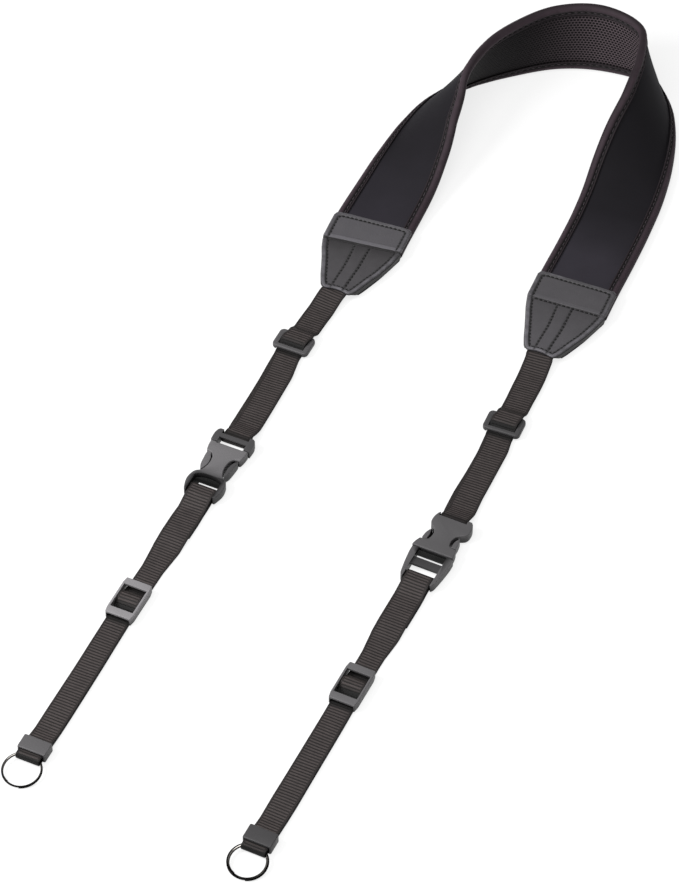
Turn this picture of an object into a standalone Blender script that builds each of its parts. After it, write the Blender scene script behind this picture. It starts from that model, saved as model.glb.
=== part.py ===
"""Padded camera neck strap, lying on a table.

The pad is one long ribbon.  Its ends lie flat under leather end patches, and its middle stands up
on the outer edge as an arch.  Two webbing legs run from the patches towards -Y, each through a
slider, a side-release buckle, a ladder adjuster and a keeper, and end round a split ring.

Sizes are in millimetres and are turned into metres when a mesh is made.  X runs across the legs,
+Y runs towards the arch, +Z is up and the table is z = 0.
"""
import math

import bmesh
import bpy
from mathutils import Vector

MM = 0.001

# ---------------------------------------------------------------- driving dimensions
GAP = 0.3                      # clearance between pieces that touch

PAD_WIDTH = 53.0
PAD_THICKNESS = 6.0            # over the edge bindings
MID_HEIGHT = PAD_THICKNESS / 2  # height of the pad's middle plane where it lies flat
TAPE_WALL = 0.7                # edge binding
TAPE_COVER = 7.0               # width of the binding on each face
LINING_WALL = 0.7
CORE_EDGE_TOP = 2.0            # core faces, measured from the pad's middle plane
CORE_EDGE_BOTTOM = -1.0
CORE_CROWN = 0.8               # how much both faces swell at the middle of the width
CORE_HALF_WIDTH = 23.7
CROWN_HALF_WIDTH = 19.0        # the swelling starts at the bindings' inner edges
FAN_HALF_WIDTH = 25.9          # widest that the core gets below the bindings' ends
FAN_BOTTOM = -2.0              # underside of the core inside the end patches

PATCH_WALL = 1.2
PATCH_LABEL_HEIGHT = PAD_THICKNESS / 2 + GAP   # underside of the label band
PATCH_FAN_HEIGHT = CORE_EDGE_TOP + GAP         # underside of the fan
PATCH_DIP = 1.5                # hollow in the patch's end over the webbing

WEB_END_HALF = 8.8             # half width of the webbing's end inside the patch
WEB_WALL = 1.1
WEB_LOW = WEB_WALL / 2                     # middle of a layer lying on the table
WEB_HIGH = WEB_WALL * 1.5 + GAP            # middle of a layer lying on another one
WEB_IN_PATCH = MID_HEIGHT + 1.3            # middle of the webbing's end in the patch
TAIL_IN_PATCH = 37.0
GROOVE_SLOPE = 0.5                         # width of the sides of the groove that it lies in
LAYER_SPLIT = 1.2              # webbing above this height is the upper one of two layers
SLOT_HALF = 9.0                # half width of the openings that the webbing goes through

PIN_TOP = 4.3                  # buckle bars that carry a webbing loop
PIN_BOTTOM = 2.3
PIN_INNER = 0.9                # bar's edge on the side of the webbing's turn
PIN_OUTER = 2.2
PIN_LOOP_TOP = 5.45            # middle of the webbing above and below the bar
PIN_LOOP_BOTTOM = 1.1

OVER_SLIDER_END = 5.8          # middle of the webbing over the slider's upper bar
OVER_ADJUSTER_BAR = 5.5        # and over the adjuster's middle bar

FOLD_RADIUS = 2.15             # webbing's turn round the split ring
FOLD_BOTTOM = 1.35
FOLD_TOP = FOLD_BOTTOM + 2 * FOLD_RADIUS
FOLD_MIDDLE = FOLD_BOTTOM + FOLD_RADIUS

RING_RADIUS = 11.3             # of the wire's centre line
RING_WIRE = 0.8
RING_PITCH = 0.9
RING_TURNS = 1.9
RING_START = -72.0             # degrees from +X
RING_POINTS_PER_TURN = 20

ARCH_STEP = 13.5               # spacing of the pad's sections
SPLINE_STEPS = 10              # samples between two rows of a route
SHORTEST_SEGMENT = 0.05        # webbing points closer than this are one point

# Outer edge of the pad where it meets the table, from the left patch's end round the arch to the
# right patch's end.  lean is the tilt of the pad's width: 0 lies flat, 90 stands upright.
ARCH_ROUTE = [
    # x, y, lean
    (-79.2, 110.9, 0.0),
    (-82.0, 143.5, 0.0),
    (-84.5, 176.0, 0.0),
    (-84.9, 209.9, 5.2),
    (-84.6, 240.7, 17.1),
    (-82.0, 272.6, 34.2),
    (-74.8, 303.2, 50.4),
    (-58.2, 329.4, 68.4),
    (-36.3, 351.5, 83.0),
    (-11.2, 371.3, 93.1),
    (17.3, 382.6, 94.5),
    (48.9, 384.6, 80.5),
    (72.0, 366.6, 62.5),
    (87.1, 340.6, 46.5),
    (97.4, 310.8, 24.5),
    (103.9, 278.5, 6.5),
    (107.0, 245.5, 0.0),
    (108.5, 215.0, 0.0),
    (109.3, 185.3, 0.0),
    (111.0, 151.0, 0.0),
    (112.8, 116.5, 0.0),
]
LEFT_PATCH_TOP_Y = 176.4       # where the patches begin on the outer edge
RIGHT_PATCH_TOP_Y = 184.3

# End patch, from its top edge down to its tip: distance down the patch, half width, height of the
# underside over the pad's middle plane, and how much of the end's dip the row follows.
PATCH_ROWS = [
    # down, half_width, height, dip
    (0.0, 23.9, PATCH_LABEL_HEIGHT, 0.0),
    (0.9, 25.6, PATCH_LABEL_HEIGHT, 0.0),
    (3.0, 26.5, PATCH_LABEL_HEIGHT, 0.0),
    (21.3, 26.4, PATCH_LABEL_HEIGHT, 0.0),
    (22.6, 26.1, PATCH_FAN_HEIGHT, 0.0),
    (25.0, 25.3, PATCH_FAN_HEIGHT, 0.0),
    (43.0, 19.4, PATCH_FAN_HEIGHT, 0.0),
    (61.5, 13.2, PATCH_FAN_HEIGHT, 0.3),
    (64.1, 12.0, PATCH_FAN_HEIGHT, 0.7),
    (65.7, 10.5, PATCH_FAN_HEIGHT, 0.9),
    (66.5, 8.7, PATCH_FAN_HEIGHT, 1.0),
]
PATCH_COLUMNS = [-1.0, -0.66, -0.33, 0.0, 0.33, 0.66, 1.0]   # places across, as parts of the half width
FAN_START = 21.3               # where the patch steps down from the bindings to the core
FAN_LEVEL = 22.6
FAN_END = 61.0                 # where the core and lining end inside the patch
TAPE_END = 20.6                # where the bindings end under the patch
UNDER_LABEL = 8.0              # a section shared by the pad's pieces under the label band

# Legs: where each thing sits, as y on the table plan.
LEGS = {
    "left": {
        # y, x
        "route": [(-300.0, -56.3), (-230.0, -56.7), (-200.0, -57.2), (-172.0, -57.6), (-152.0, -57.4),
                  (-120.0, -57.0), (-55.0, -56.6), (0.0, -57.0), (45.0, -58.2), (85.0, -58.0),
                  (105.0, -56.8), (118.0, -55.7), (156.0, -55.2)],
        # y, half width: the webbing is drawn together where it passes the adjuster
        "half": [(-300.0, 7.5), (-275.0, 7.6), (-260.0, 7.7), (-230.0, 7.5), (-190.0, 7.35),
                 (-150.0, 7.2), (-140.0, 7.2), (-133.0, 7.8), (-122.0, 8.8), (-98.0, 8.9), (-90.0, 8.6),
                 (80.0, 8.6), (156.0, 8.6)],
        # y, sideways place of the upper and of the lower layer against the route
        "over": [(-90.0, 0.0), (-27.0, 0.0), (-19.0, 1.1), (4.0, 1.0), (38.0, 0.9), (50.0, -1.8),
                 (66.0, -1.8), (77.0, 0.4), (94.0, 0.4), (106.0, 0.0)],
        "under": [(-27.0, 0.0), (-18.0, -1.4), (4.0, -1.3), (28.0, -1.1), (50.0, -1.8),
                  (66.0, -1.8), (77.0, 0.4), (94.0, 0.4), (106.0, 0.0)],
        "patch_end": 112.5,
        "slider": 61.0,
        "buckle_top": -26.5,
        "upper_pin": -29.5,
        "lower_pin": -73.4,
        "adjuster": -170.0,
        "keeper": (-283.4, -293.2),
        "ring_far": -293.0,
        "fold_end": -297.9,
    },
    "right": {
        # y, x
        "route": [(-300.0, 87.1), (-260.0, 87.7), (-235.0, 88.0), (-200.0, 88.3), (-175.0, 88.3),
                  (-152.0, 88.8), (-95.0, 89.8), (-30.0, 90.7), (40.0, 89.0), (106.0, 85.6),
                  (118.0, 84.4), (156.0, 83.2)],
        "half": [(-300.0, 7.5), (-275.0, 7.5), (-260.0, 7.7), (-230.0, 7.5), (-190.0, 7.4),
                 (-150.0, 7.2), (-144.0, 7.3), (-138.0, 7.9), (-128.0, 8.8), (-98.0, 8.9), (-90.0, 8.6),
                 (76.0, 8.6), (88.0, 8.9), (100.0, 8.9), (112.0, 8.75), (156.0, 8.75)],
        "over": [(-90.0, 0.0), (-31.5, 0.0), (-23.0, 0.9), (-8.0, 0.0), (16.0, 0.2), (33.0, 0.4),
                 (43.0, -1.2), (58.0, -1.2), (68.0, 0.1), (94.0, 0.6), (106.0, 0.3), (118.0, 0.0)],
        "under": [(-34.5, 0.0), (-31.5, 0.0), (-24.0, -1.2), (-8.0, -1.6), (10.0, -0.8), (28.0, -0.5),
                  (43.0, -1.2), (58.0, -1.2), (68.0, 0.1), (94.0, 0.6), (106.0, 0.3), (118.0, 0.0)],
        "patch_end": 117.0,
        "slider": 53.0,
        "buckle_top": -31.0,
        "upper_pin": -36.5,
        "lower_pin": -81.0,
        "adjuster": -172.2,
        "keeper": (-285.6, -296.0),
        "ring_far": -295.7,
        "fold_end": -300.6,
    },
}

# Hardware outlines: distance down from the piece's upper end, and half width there.
SLIDER_LENGTH = 15.6
SLIDER_HALF = 12.1
SLIDER_END_BAR = 2.6
SLIDER_LEVELS = (1.2, 4.8)
SLIDER_LOOP = 1.15             # middle bar's centre above the slider's centre
SLIDER_LOOP_RADIUS = 2.1
ADJUSTER_LENGTH = 28.5
ADJUSTER_HALF = 8.9
ADJUSTER_END_HALF = 8.2
ADJUSTER_END_BAR = 5.0
ADJUSTER_TOP = 6.5
ADJUSTER_LOOP = 1.5
ADJUSTER_LOOP_RADIUS = 1.8
KEEPER_HALF = 8.9
KEEPER_TOP = 6.8

LEFT_MALE = [
    # down, half_width
    (0.0, 10.9), (1.2, 12.5), (4.5, 13.3), (10.3, 13.1), (10.4, 10.2), (19.8, 10.2), (20.3, 10.4),
    (22.5, 10.5), (25.5, 10.3), (31.0, 9.7), (33.5, 8.8), (35.0, 8.1),
    (33.4, 7.7), (29.5, 6.9), (24.5, 7.0), (21.5, 8.0), (16.0, 8.2), (16.0, 0.0),
]
LEFT_FEMALE = [
    (10.8, 12.6), (15.5, 12.3), (19.5, 11.4), (20.1, 8.0), (21.3, 6.8), (23.5, 5.7), (28.5, 5.3),
    (33.0, 6.3), (35.2, 7.5), (37.0, 10.0), (39.2, 11.4), (43.0, 12.3), (46.5, 12.2),
    (50.0, 11.3), (53.2, 10.2),
]
RIGHT_FEMALE = [
    (0.3, 10.2), (1.5, 11.2), (4.0, 12.2), (7.0, 12.6), (10.0, 12.3), (12.0, 11.0), (13.3, 9.0),
    (15.0, 7.0), (19.0, 6.2), (22.5, 6.8), (23.7, 7.8), (24.3, 11.9), (28.0, 13.0), (31.0, 13.3),
]
RIGHT_MALE = [
    (57.8, 9.9), (55.2, 10.9), (51.0, 11.6), (44.0, 12.5), (36.0, 13.3), (31.3, 13.3),
    (31.2, 10.2), (23.7, 10.2), (23.2, 11.1), (19.5, 10.9), (16.8, 9.9), (15.5, 8.7),
    (16.2, 7.9), (18.0, 7.4), (22.0, 8.0), (24.2, 8.2), (28.0, 8.2), (28.0, 0.0),
]
BUCKLE_MIDDLE = 28.0           # the buckle turns with the leg about this place
BUCKLE_BOTTOM = 0.9
FEMALE_TOP = 7.4
LEFT_MALE_TOP = 7.2
RIGHT_MALE_TOP = 6.9
COVER_UNDERSIDE = 6.3
NECK_BOTTOM = 2.9              # the male half's arms inside the female half
NECK_TOP = 5.3
MOUTH_BOTTOM = NECK_BOTTOM - GAP
MOUTH_TOP = NECK_TOP + GAP
MOUTH_HALF = 10.5
LIP_END = 11.9                 # rebated lip of the left plate along its upper slot
LIP_TOP = 6.4
LIP_HALF = 8.6
WINDOW_FLOOR_TOP = 3.6         # thin floor of the left plate's arched window
WINDOW_FLOOR_BOTTOM = 2.6
RIGHT_WINDOW_HALF = 9.2        # openings between the right male half's side rails

BELOW = -1.0                   # cutter levels clear of the whole piece
ABOVE = 9.0
PAST = 3.0                     # how far a cutter runs past the piece's end

# Colour, roughness and metallic value of each kind of piece, from the photograph.
FINISHES = {
    "jersey": ((0.022, 0.022, 0.028), 0.75, 0.0),
    "mesh": ((0.030, 0.026, 0.030), 0.80, 0.0),
    "tape": ((0.034, 0.026, 0.030), 0.80, 0.0),
    "leather": ((0.055, 0.056, 0.060), 0.50, 0.0),
    "webbing": ((0.040, 0.035, 0.033), 0.85, 0.0),
    "plastic": ((0.090, 0.092, 0.095), 0.40, 0.0),
    "steel": ((0.560, 0.550, 0.540), 0.20, 1.0),
}


# ---------------------------------------------------------------- scene and mesh helpers
def clear_scene():
    for item in list(bpy.data.objects):
        bpy.data.objects.remove(item, do_unlink=True)


def finish(name, kind):
    """One Principled material for one object."""
    colour, roughness, metallic = FINISHES[kind]
    material = bpy.data.materials.new(name + "_" + kind)
    material.use_nodes = True
    shader = material.node_tree.nodes["Principled BSDF"]
    shader.inputs["Base Color"].default_value = (*colour, 1.0)
    shader.inputs["Roughness"].default_value = roughness
    shader.inputs["Metallic"].default_value = metallic
    return material


def add_object(name, data, kind, frame):
    piece = bpy.data.objects.new(name, data)
    bpy.context.scene.collection.objects.link(piece)
    piece.parent = frame
    data.materials.append(finish(name, kind))
    return piece


def mesh_from(name, bm, smooth_angle=35.0):
    """Turns a bmesh in millimetres into a mesh in metres with its faces pointing out."""
    bmesh.ops.scale(bm, vec=(MM, MM, MM), verts=bm.verts)
    bmesh.ops.recalc_face_normals(bm, faces=bm.faces)
    mesh = bpy.data.meshes.new(name)
    bm.to_mesh(mesh)
    bm.free()
    mesh.shade_smooth()
    mesh.set_sharp_from_angle(angle=math.radians(smooth_angle))
    return mesh


def loft(rings, across):
    """Closed body through a row of rings that all have the same number of points.

    across holds the place of each point of a ring across the width.  Each four-sided patch is split
    from its low side on one ring to its high side on the next, so twisted neighbours keep their gap.
    """
    bm = bmesh.new()
    rows = [[bm.verts.new(point) for point in ring] for ring in rings]
    count = len(rows[0])
    for row, following in zip(rows, rows[1:]):
        for i in range(count):
            j = (i + 1) % count
            if across[i] < across[j]:
                bm.faces.new((row[i], row[j], following[j]))
                bm.faces.new((row[i], following[j], following[i]))
            else:
                bm.faces.new((row[i], row[j], following[i]))
                bm.faces.new((row[j], following[j], following[i]))
    caps = [bm.faces.new(rows[0]), bm.faces.new(rows[-1])]
    bm.normal_update()
    bmesh.ops.triangulate(bm, faces=caps, ngon_method="EAR_CLIP")
    return bm


def prism(outline, low, high):
    """Upright body over a plan outline."""
    bm = bmesh.new()
    face = bm.faces.new([bm.verts.new((x, y, low)) for x, y in outline])
    raised = bmesh.ops.extrude_face_region(bm, geom=[face])
    tops = [item for item in raised["geom"] if isinstance(item, bmesh.types.BMVert)]
    bmesh.ops.translate(bm, vec=(0.0, 0.0, high - low), verts=tops)
    return bm


def box_outline(half_width, y0, y1):
    return [(half_width, y0), (half_width, y1), (-half_width, y1), (-half_width, y0)]


def mirrored(rows):
    """Plan outline from rows of (down, half_width) on the right side, y measured downwards."""
    right = [(half, -down) for down, half in rows if half > 0.0]
    left = [(-half, -down) for down, half in reversed(rows) if half > 0.0]
    inner = [(0.0, -down) for down, half in rows if half == 0.0]
    return right + inner + left


def rounded_box(half_width, length, radius, steps=3):
    """Plan outline with round corners, centred on the origin."""
    outline = []
    for quarter in range(4):
        side_x = (1, -1, -1, 1)[quarter]
        side_y = (1, 1, -1, -1)[quarter]
        centre_x = side_x * (half_width - radius)
        centre_y = side_y * (length / 2 - radius)
        for step in range(steps + 1):
            angle = math.radians(90.0 * quarter + 90.0 * step / steps)
            outline.append((centre_x + radius * math.cos(angle), centre_y + radius * math.sin(angle)))
    return outline


def moulded(name, body, cutters, edge, frame, place):
    """Moulded plastic piece: a bevelled body with openings cut through it.

    cutters is a list of (outline, low, high); place is (x, y, angle) of the piece on the table.
    """
    piece = add_object(name, mesh_from(name, body), "plastic", frame)
    bevel = piece.modifiers.new("edge", "BEVEL")
    bevel.width = edge * MM
    bevel.segments = 1
    bevel.limit_method = "ANGLE"
    bevel.angle_limit = math.radians(50.0)
    tools = []
    for outline, low, high in cutters:
        tool = bpy.data.objects.new("cutter", mesh_from("cutter", prism(outline, low, high)))
        bpy.context.scene.collection.objects.link(tool)
        cut = piece.modifiers.new("opening", "BOOLEAN")
        cut.operation = "DIFFERENCE"
        cut.solver = "EXACT"
        cut.object = tool
        tools.append(tool)
    bpy.context.view_layer.update()
    shaped = bpy.data.meshes.new_from_object(piece.evaluated_get(bpy.context.evaluated_depsgraph_get()))
    shaped.shade_smooth()
    shaped.set_sharp_from_angle(angle=math.radians(30.0))
    piece.modifiers.clear()
    piece.data = shaped
    for tool in tools:
        bpy.data.objects.remove(tool, do_unlink=True)
    x, y, angle = place
    piece.location = (x * MM, y * MM, 0.0)
    piece.rotation_euler = (0.0, 0.0, angle)
    return piece


# ---------------------------------------------------------------- routes
def spline(points, steps):
    """Smooth curve through rows of numbers, with a few samples between each two rows."""
    padded = [points[0]] + list(points) + [points[-1]]
    curve = []
    for a, b, c, d in zip(padded, padded[1:], padded[2:], padded[3:]):
        for step in range(steps):
            t = step / steps
            curve.append(tuple(
                0.5 * (2 * q + (r - p) * t + (2 * p - 5 * q + 4 * r - s) * t * t
                       + (3 * q - p - 3 * r + s) * t * t * t)
                for p, q, r, s in zip(a, b, c, d)))
    curve.append(tuple(points[-1]))
    return curve


def between(table, value):
    """Linear reading of a table of (key, result) rows with rising keys."""
    if value <= table[0][0]:
        return table[0][1]
    for (k0, v0), (k1, v1) in zip(table, table[1:]):
        if value <= k1:
            return v0 + (v1 - v0) * (value - k0) / (k1 - k0)
    return table[-1][1]


class Ribbon:
    """The pad's route: places a point by distance along, distance from the outer edge, and height
    over the pad's middle plane."""

    def __init__(self, route):
        self.rows = spline(route, SPLINE_STEPS)
        self.along = [0.0]
        for a, b in zip(self.rows, self.rows[1:]):
            self.along.append(self.along[-1] + math.dist(a[:2], b[:2]))
        self.length = self.along[-1]

    def column(self, index):
        return list(zip(self.along, [row[index] for row in self.rows]))

    def frame(self, s):
        step = 4.0
        x, y, lean = (between(self.column(i), s) for i in range(3))
        ahead = [between(self.column(i), min(s + step, self.length)) for i in range(2)]
        behind = [between(self.column(i), max(s - step, 0.0)) for i in range(2)]
        tangent = Vector((ahead[0] - behind[0], ahead[1] - behind[1], 0.0)).normalized()
        inward = Vector((tangent.y, -tangent.x, 0.0))
        angle = math.radians(max(0.0, lean))
        across = inward * math.cos(angle) + Vector((0.0, 0.0, math.sin(angle)))
        face = Vector((0.0, 0.0, math.cos(angle))) - inward * math.sin(angle)
        lowest = min(w * math.sin(angle) + m * math.cos(angle) for w, m in tape_outside())
        return Vector((x, y, -lowest)), across, face

    def place(self, frame, from_edge, height):
        base, across, face = frame
        return base + across * from_edge + face * height

    def at_y(self, y, last):
        """Distance along where the outer edge crosses y, counted from the start or the end."""
        rows = list(zip(self.along, self.rows))
        if last:
            rows.reverse()
        for (s0, a), (s1, b) in zip(rows, rows[1:]):
            if (a[1] - y) * (b[1] - y) <= 0.0:
                return s0 + (s1 - s0) * (y - a[1]) / (b[1] - a[1])
        return rows[0][0]


def tape_outside():
    """Outer face of an edge binding, as (distance from the edge, height over the middle plane)."""
    half = PAD_THICKNESS / 2
    return [(TAPE_COVER, half), (2.2, half), (0.7, 2.35), (0.0, 1.1),
            (0.0, -1.1), (0.7, -2.35), (2.2, -half), (TAPE_COVER, -half)]


def tape_section():
    """Closed section of an edge binding: its outer face and its inner face."""
    half = PAD_THICKNESS / 2 - TAPE_WALL
    inner = [(TAPE_COVER, -half), (2.4, -half), (TAPE_WALL + 0.1, -0.9),
             (TAPE_WALL + 0.1, 0.9), (2.4, half), (TAPE_COVER, half)]
    return tape_outside() + inner


def steps_between(start, end, spacing):
    count = max(1, round(abs(end - start) / spacing))
    return [start + (end - start) * i / count for i in range(count + 1)]


class Leg:
    """A leg's centre line on the table."""

    def __init__(self, row):
        self.row = row
        self.route = [(y, x) for y, x in spline(row["route"], SPLINE_STEPS)]

    def x(self, y):
        return between(self.route, y)

    def angle(self, y):
        """Turn of the leg about Z, 0 when it runs along Y."""
        return -math.atan2(self.x(y + 5.0) - self.x(y - 5.0), 10.0)

    def place(self, y):
        return self.x(y), y, self.angle(y)

    def layer_place(self, y, z):
        """Middle of a webbing layer, which may lie a little beside the route."""
        layer = "over" if z > LAYER_SPLIT else "under"
        return Vector((self.x(y) + between(self.row[layer], y), y, z))

    def half_width(self, y):
        return between(self.row["half"], y)


def round_corners(path, step_angle=30.0):
    """Side view of a webbing route: rows of (y, z, radius) with each corner turned into an arc."""
    points = [path[0][:2]]
    for (y0, z0, _), (y1, z1, radius), (y2, z2, _) in zip(path, path[1:], path[2:]):
        corner = Vector((y1, z1))
        arrive = (corner - Vector((y0, z0))).normalized()
        leave = (Vector((y2, z2)) - corner).normalized()
        turn = arrive.angle_signed(leave)
        if radius == 0.0 or abs(turn) < 0.01:
            points.append((y1, z1))
            continue
        start = corner - arrive * radius * math.tan(abs(turn) / 2)
        side = Vector((-arrive.y, arrive.x))
        if side.dot(leave) < 0.0:
            side = -side
        centre = start + side * radius
        count = math.ceil(abs(math.degrees(turn)) / step_angle)
        for i in range(count + 1):
            swing = abs(turn) * i / count
            point = centre - side * radius * math.cos(swing) + arrive * radius * math.sin(swing)
            points.append((point.x, point.y))
    points.append(path[-1][:2])
    kept = [points[0]]
    for point in points[1:]:
        if math.dist(point, kept[-1]) > SHORTEST_SEGMENT:
            kept.append(point)
    return kept


def split_long(points, longest=9.0):
    """Adds points to long straight stretches, so that they can follow the leg."""
    route = [points[0]]
    for a, b in zip(points, points[1:]):
        count = max(1, math.ceil(math.dist(a, b) / longest))
        for i in range(1, count + 1):
            route.append((a[0] + (b[0] - a[0]) * i / count, a[1] + (b[1] - a[1]) * i / count))
    return route


# ---------------------------------------------------------------- neck pad
def crown(u):
    return max(0.0, 1.0 - (u / CROWN_HALF_WIDTH) ** 2)


def patch_half_width(down):
    return between([(row[0], row[1]) for row in PATCH_ROWS], down)


def core_heights(down, u, groove):
    """Underside and top of the core at a distance from the middle of the width.

    down is the distance from the nearer patch's top edge, negative in the open arch.
    """
    in_arch = between([(FAN_START - 0.4, 1.0), (FAN_LEVEL, 0.0)], down)
    swell = CORE_CROWN * crown(u)
    bottom = FAN_BOTTOM + in_arch * (CORE_EDGE_BOTTOM - swell - FAN_BOTTOM)
    top = CORE_EDGE_TOP + swell * between([(-12.0, 1.0), (12.0, 0.0)], down)
    if groove and down > FAN_LEVEL + 1.5:
        top = WEB_IN_PATCH - MID_HEIGHT - WEB_WALL / 2 - GAP
    return bottom, top


def arch_places(starts):
    """Distances along for the sections between the patches, shared by all of the pad's pieces."""
    left, right = starts
    return steps_between(left + 4.0, right - 4.0, ARCH_STEP)


def section_places(starts):
    """Distances along the pad for its sections, with how far each lies down its patch."""
    left, right = starts
    fan = [FAN_END, 50.0, 38.0, FAN_LEVEL + 2.4, FAN_LEVEL + 1.4, FAN_LEVEL, FAN_START - 0.4,
           UNDER_LABEL]
    places = [(left - down, down, "left") for down in fan]
    for s in arch_places(starts):
        places.append((s, max(left - s, s - right), "left" if s < (left + right) / 2 else "right"))
    places += [(right + down, down, "right") for down in reversed(fan)]
    return places


def half_width_at(down):
    if down <= FAN_START - 0.3:
        return CORE_HALF_WIDTH
    return min(patch_half_width(down), FAN_HALF_WIDTH) - GAP


def under_columns(half):
    return [part * half for part in (-1.0, -0.795, -0.4, 0.0, 0.4, 0.795, 1.0)]


def build_pad(ribbon, starts, legs, frame):
    rings = []
    for s, down, side in section_places(starts):
        here = ribbon.frame(s)
        half = half_width_at(down)
        groove_at = 0.0
        if down > FAN_START:
            middle = ribbon.place(here, PAD_WIDTH / 2, 0.0)
            offset = legs[side].x(middle.y) - middle.x
            groove_at = offset if side == "left" else -offset
        wall = WEB_END_HALF + GAP
        first = groove_at - wall - GROOVE_SLOPE
        last = groove_at + wall + GROOVE_SLOPE
        columns = [
            (-half, False), (first + 0.68 * (-half - first), False), (first, False),
            (groove_at - wall, True), (groove_at, True), (groove_at + wall, True),
            (last, False), (last + 0.68 * (half - last), False), (half, False),
        ]
        tops = []
        for u, in_groove in columns:
            tops.append(ribbon.place(here, PAD_WIDTH / 2 + u, core_heights(down, u, in_groove)[1]))
        bottoms = []
        for u in under_columns(half):
            bottoms.append(ribbon.place(here, PAD_WIDTH / 2 + u, core_heights(down, u, False)[0]))
        rings.append(tops + bottoms[::-1])
    places = [u for u, _ in columns] + under_columns(half)[::-1]
    return add_object("neck_pad", mesh_from("neck_pad", loft(rings, places), 50.0), "jersey", frame)


def build_lining(ribbon, starts, frame):
    rings = []
    for s, down, _ in section_places(starts):
        here = ribbon.frame(s)
        tops = []
        bottoms = []
        for u in under_columns(half_width_at(down)):
            top = core_heights(down, u, False)[0] - GAP
            tops.append(ribbon.place(here, PAD_WIDTH / 2 + u, top))
            bottoms.append(ribbon.place(here, PAD_WIDTH / 2 + u, top - LINING_WALL))
        rings.append(tops + bottoms[::-1])
    places = under_columns(1.0) + under_columns(1.0)[::-1]
    body = loft(rings, places)
    return add_object("mesh_lining", mesh_from("mesh_lining", body, 50.0), "mesh", frame)


def build_binding(name, upper, ribbon, starts, frame):
    left, right = starts
    section = [(PAD_WIDTH - w if upper else w, height) for w, height in tape_section()]
    rings = []
    ends = ([left - TAPE_END, left - UNDER_LABEL], [right + UNDER_LABEL, right + TAPE_END])
    for s in ends[0] + arch_places(starts) + ends[1]:
        here = ribbon.frame(s)
        rings.append([ribbon.place(here, w, height) for w, height in section])
    body = loft(rings, [w for w, _ in section])
    return add_object(name, mesh_from(name, body, 30.0), "tape", frame)


def build_patch(name, side, ribbon, start, frame):
    """Leather plate in two levels: the label band over the bindings and the fan below it."""
    along = -1.0 if side == "left" else 1.0
    dip_half = PATCH_ROWS[-1][1]
    rings = []
    for down, half, height, dip in PATCH_ROWS:
        tops = []
        bottoms = []
        for part in PATCH_COLUMNS:
            u = part * half
            lift = dip * PATCH_DIP * max(0.0, 1.0 - (u / dip_half) ** 2)
            here = ribbon.frame(start + along * (down - lift))
            tops.append(ribbon.place(here, PAD_WIDTH / 2 + u, height + PATCH_WALL))
            bottoms.append(ribbon.place(here, PAD_WIDTH / 2 + u, height))
        rings.append(tops + bottoms[::-1])
    places = PATCH_COLUMNS + PATCH_COLUMNS[::-1]
    return add_object(name, mesh_from(name, loft(rings, places)), "leather", frame)


# ---------------------------------------------------------------- webbing
def build_webbing(name, leg, path, frame):
    """Flat strip that follows a side view path along a leg."""
    route = split_long(round_corners(path))
    centres = [leg.layer_place(y, z) for y, z in route]
    rings = []
    for i, centre in enumerate(centres):
        before = centres[max(i - 1, 0)]
        after = centres[min(i + 1, len(centres) - 1)]
        tangent = ((centre - before).normalized() + (after - centre).normalized()).normalized()
        turn = leg.angle(centre.y)
        across = Vector((math.cos(turn), math.sin(turn), 0.0))
        normal = across.cross(tangent).normalized()
        bend = 1.0
        if 0 < i < len(centres) - 1:
            bend = 1.0 / max(0.5, tangent.dot((after - centre).normalized()))
        half = normal * WEB_WALL / 2 * bend
        side = across * leg.half_width(centre.y)
        rings.append([centre - side + half, centre + side + half,
                      centre + side - half, centre - side - half])
    body = loft(rings, [-1.0, 1.0, 1.0, -1.0])
    return add_object(name, mesh_from(name, body), "webbing", frame)


def loop_over_bar(centre, radius, low):
    """End of a layer that turns round a bar from below: rows up to the sewn end."""
    turn_y = centre + radius
    top = low + 2 * radius
    return [(turn_y, low, radius), (turn_y, top, radius), (centre - 0.45, top, 0.0)]


def upper_path(row):
    """Patch, over the slider, round the buckle's bar and back to the slider's middle bar."""
    slider = row["slider"]
    pin = row["upper_pin"]
    turn = (PIN_LOOP_TOP - PIN_LOOP_BOTTOM) / 2
    start = row["patch_end"]
    over_loop = WEB_LOW + 2 * SLIDER_LOOP_RADIUS + WEB_WALL + GAP
    out = [
        (start + TAIL_IN_PATCH, WEB_IN_PATCH, 0.0),
        (start - 2.0, WEB_IN_PATCH, 14.0),
        (start - 17.0, 2.0, 14.0),
        (slider + 14.0, 2.0, 6.0),
        (slider + 8.6, OVER_SLIDER_END, 3.0),
        (slider + 4.6, OVER_SLIDER_END, 3.0),
        (slider + 3.4, over_loop, 3.0),
        (slider - 0.4, over_loop, 1.5),
        (slider - 4.6, WEB_HIGH, 2.0),
        (pin + 16.0, WEB_HIGH, 10.0),
        (pin + 5.0, PIN_LOOP_TOP, 6.0),
        (pin - turn, PIN_LOOP_TOP, turn),
        (pin - turn, PIN_LOOP_BOTTOM, turn),
        (pin + 6.0, PIN_LOOP_BOTTOM, 6.0),
        (pin + 12.0, WEB_LOW, 8.0),
    ]
    return out + loop_over_bar(slider + SLIDER_LOOP, SLIDER_LOOP_RADIUS, WEB_LOW)


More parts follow.
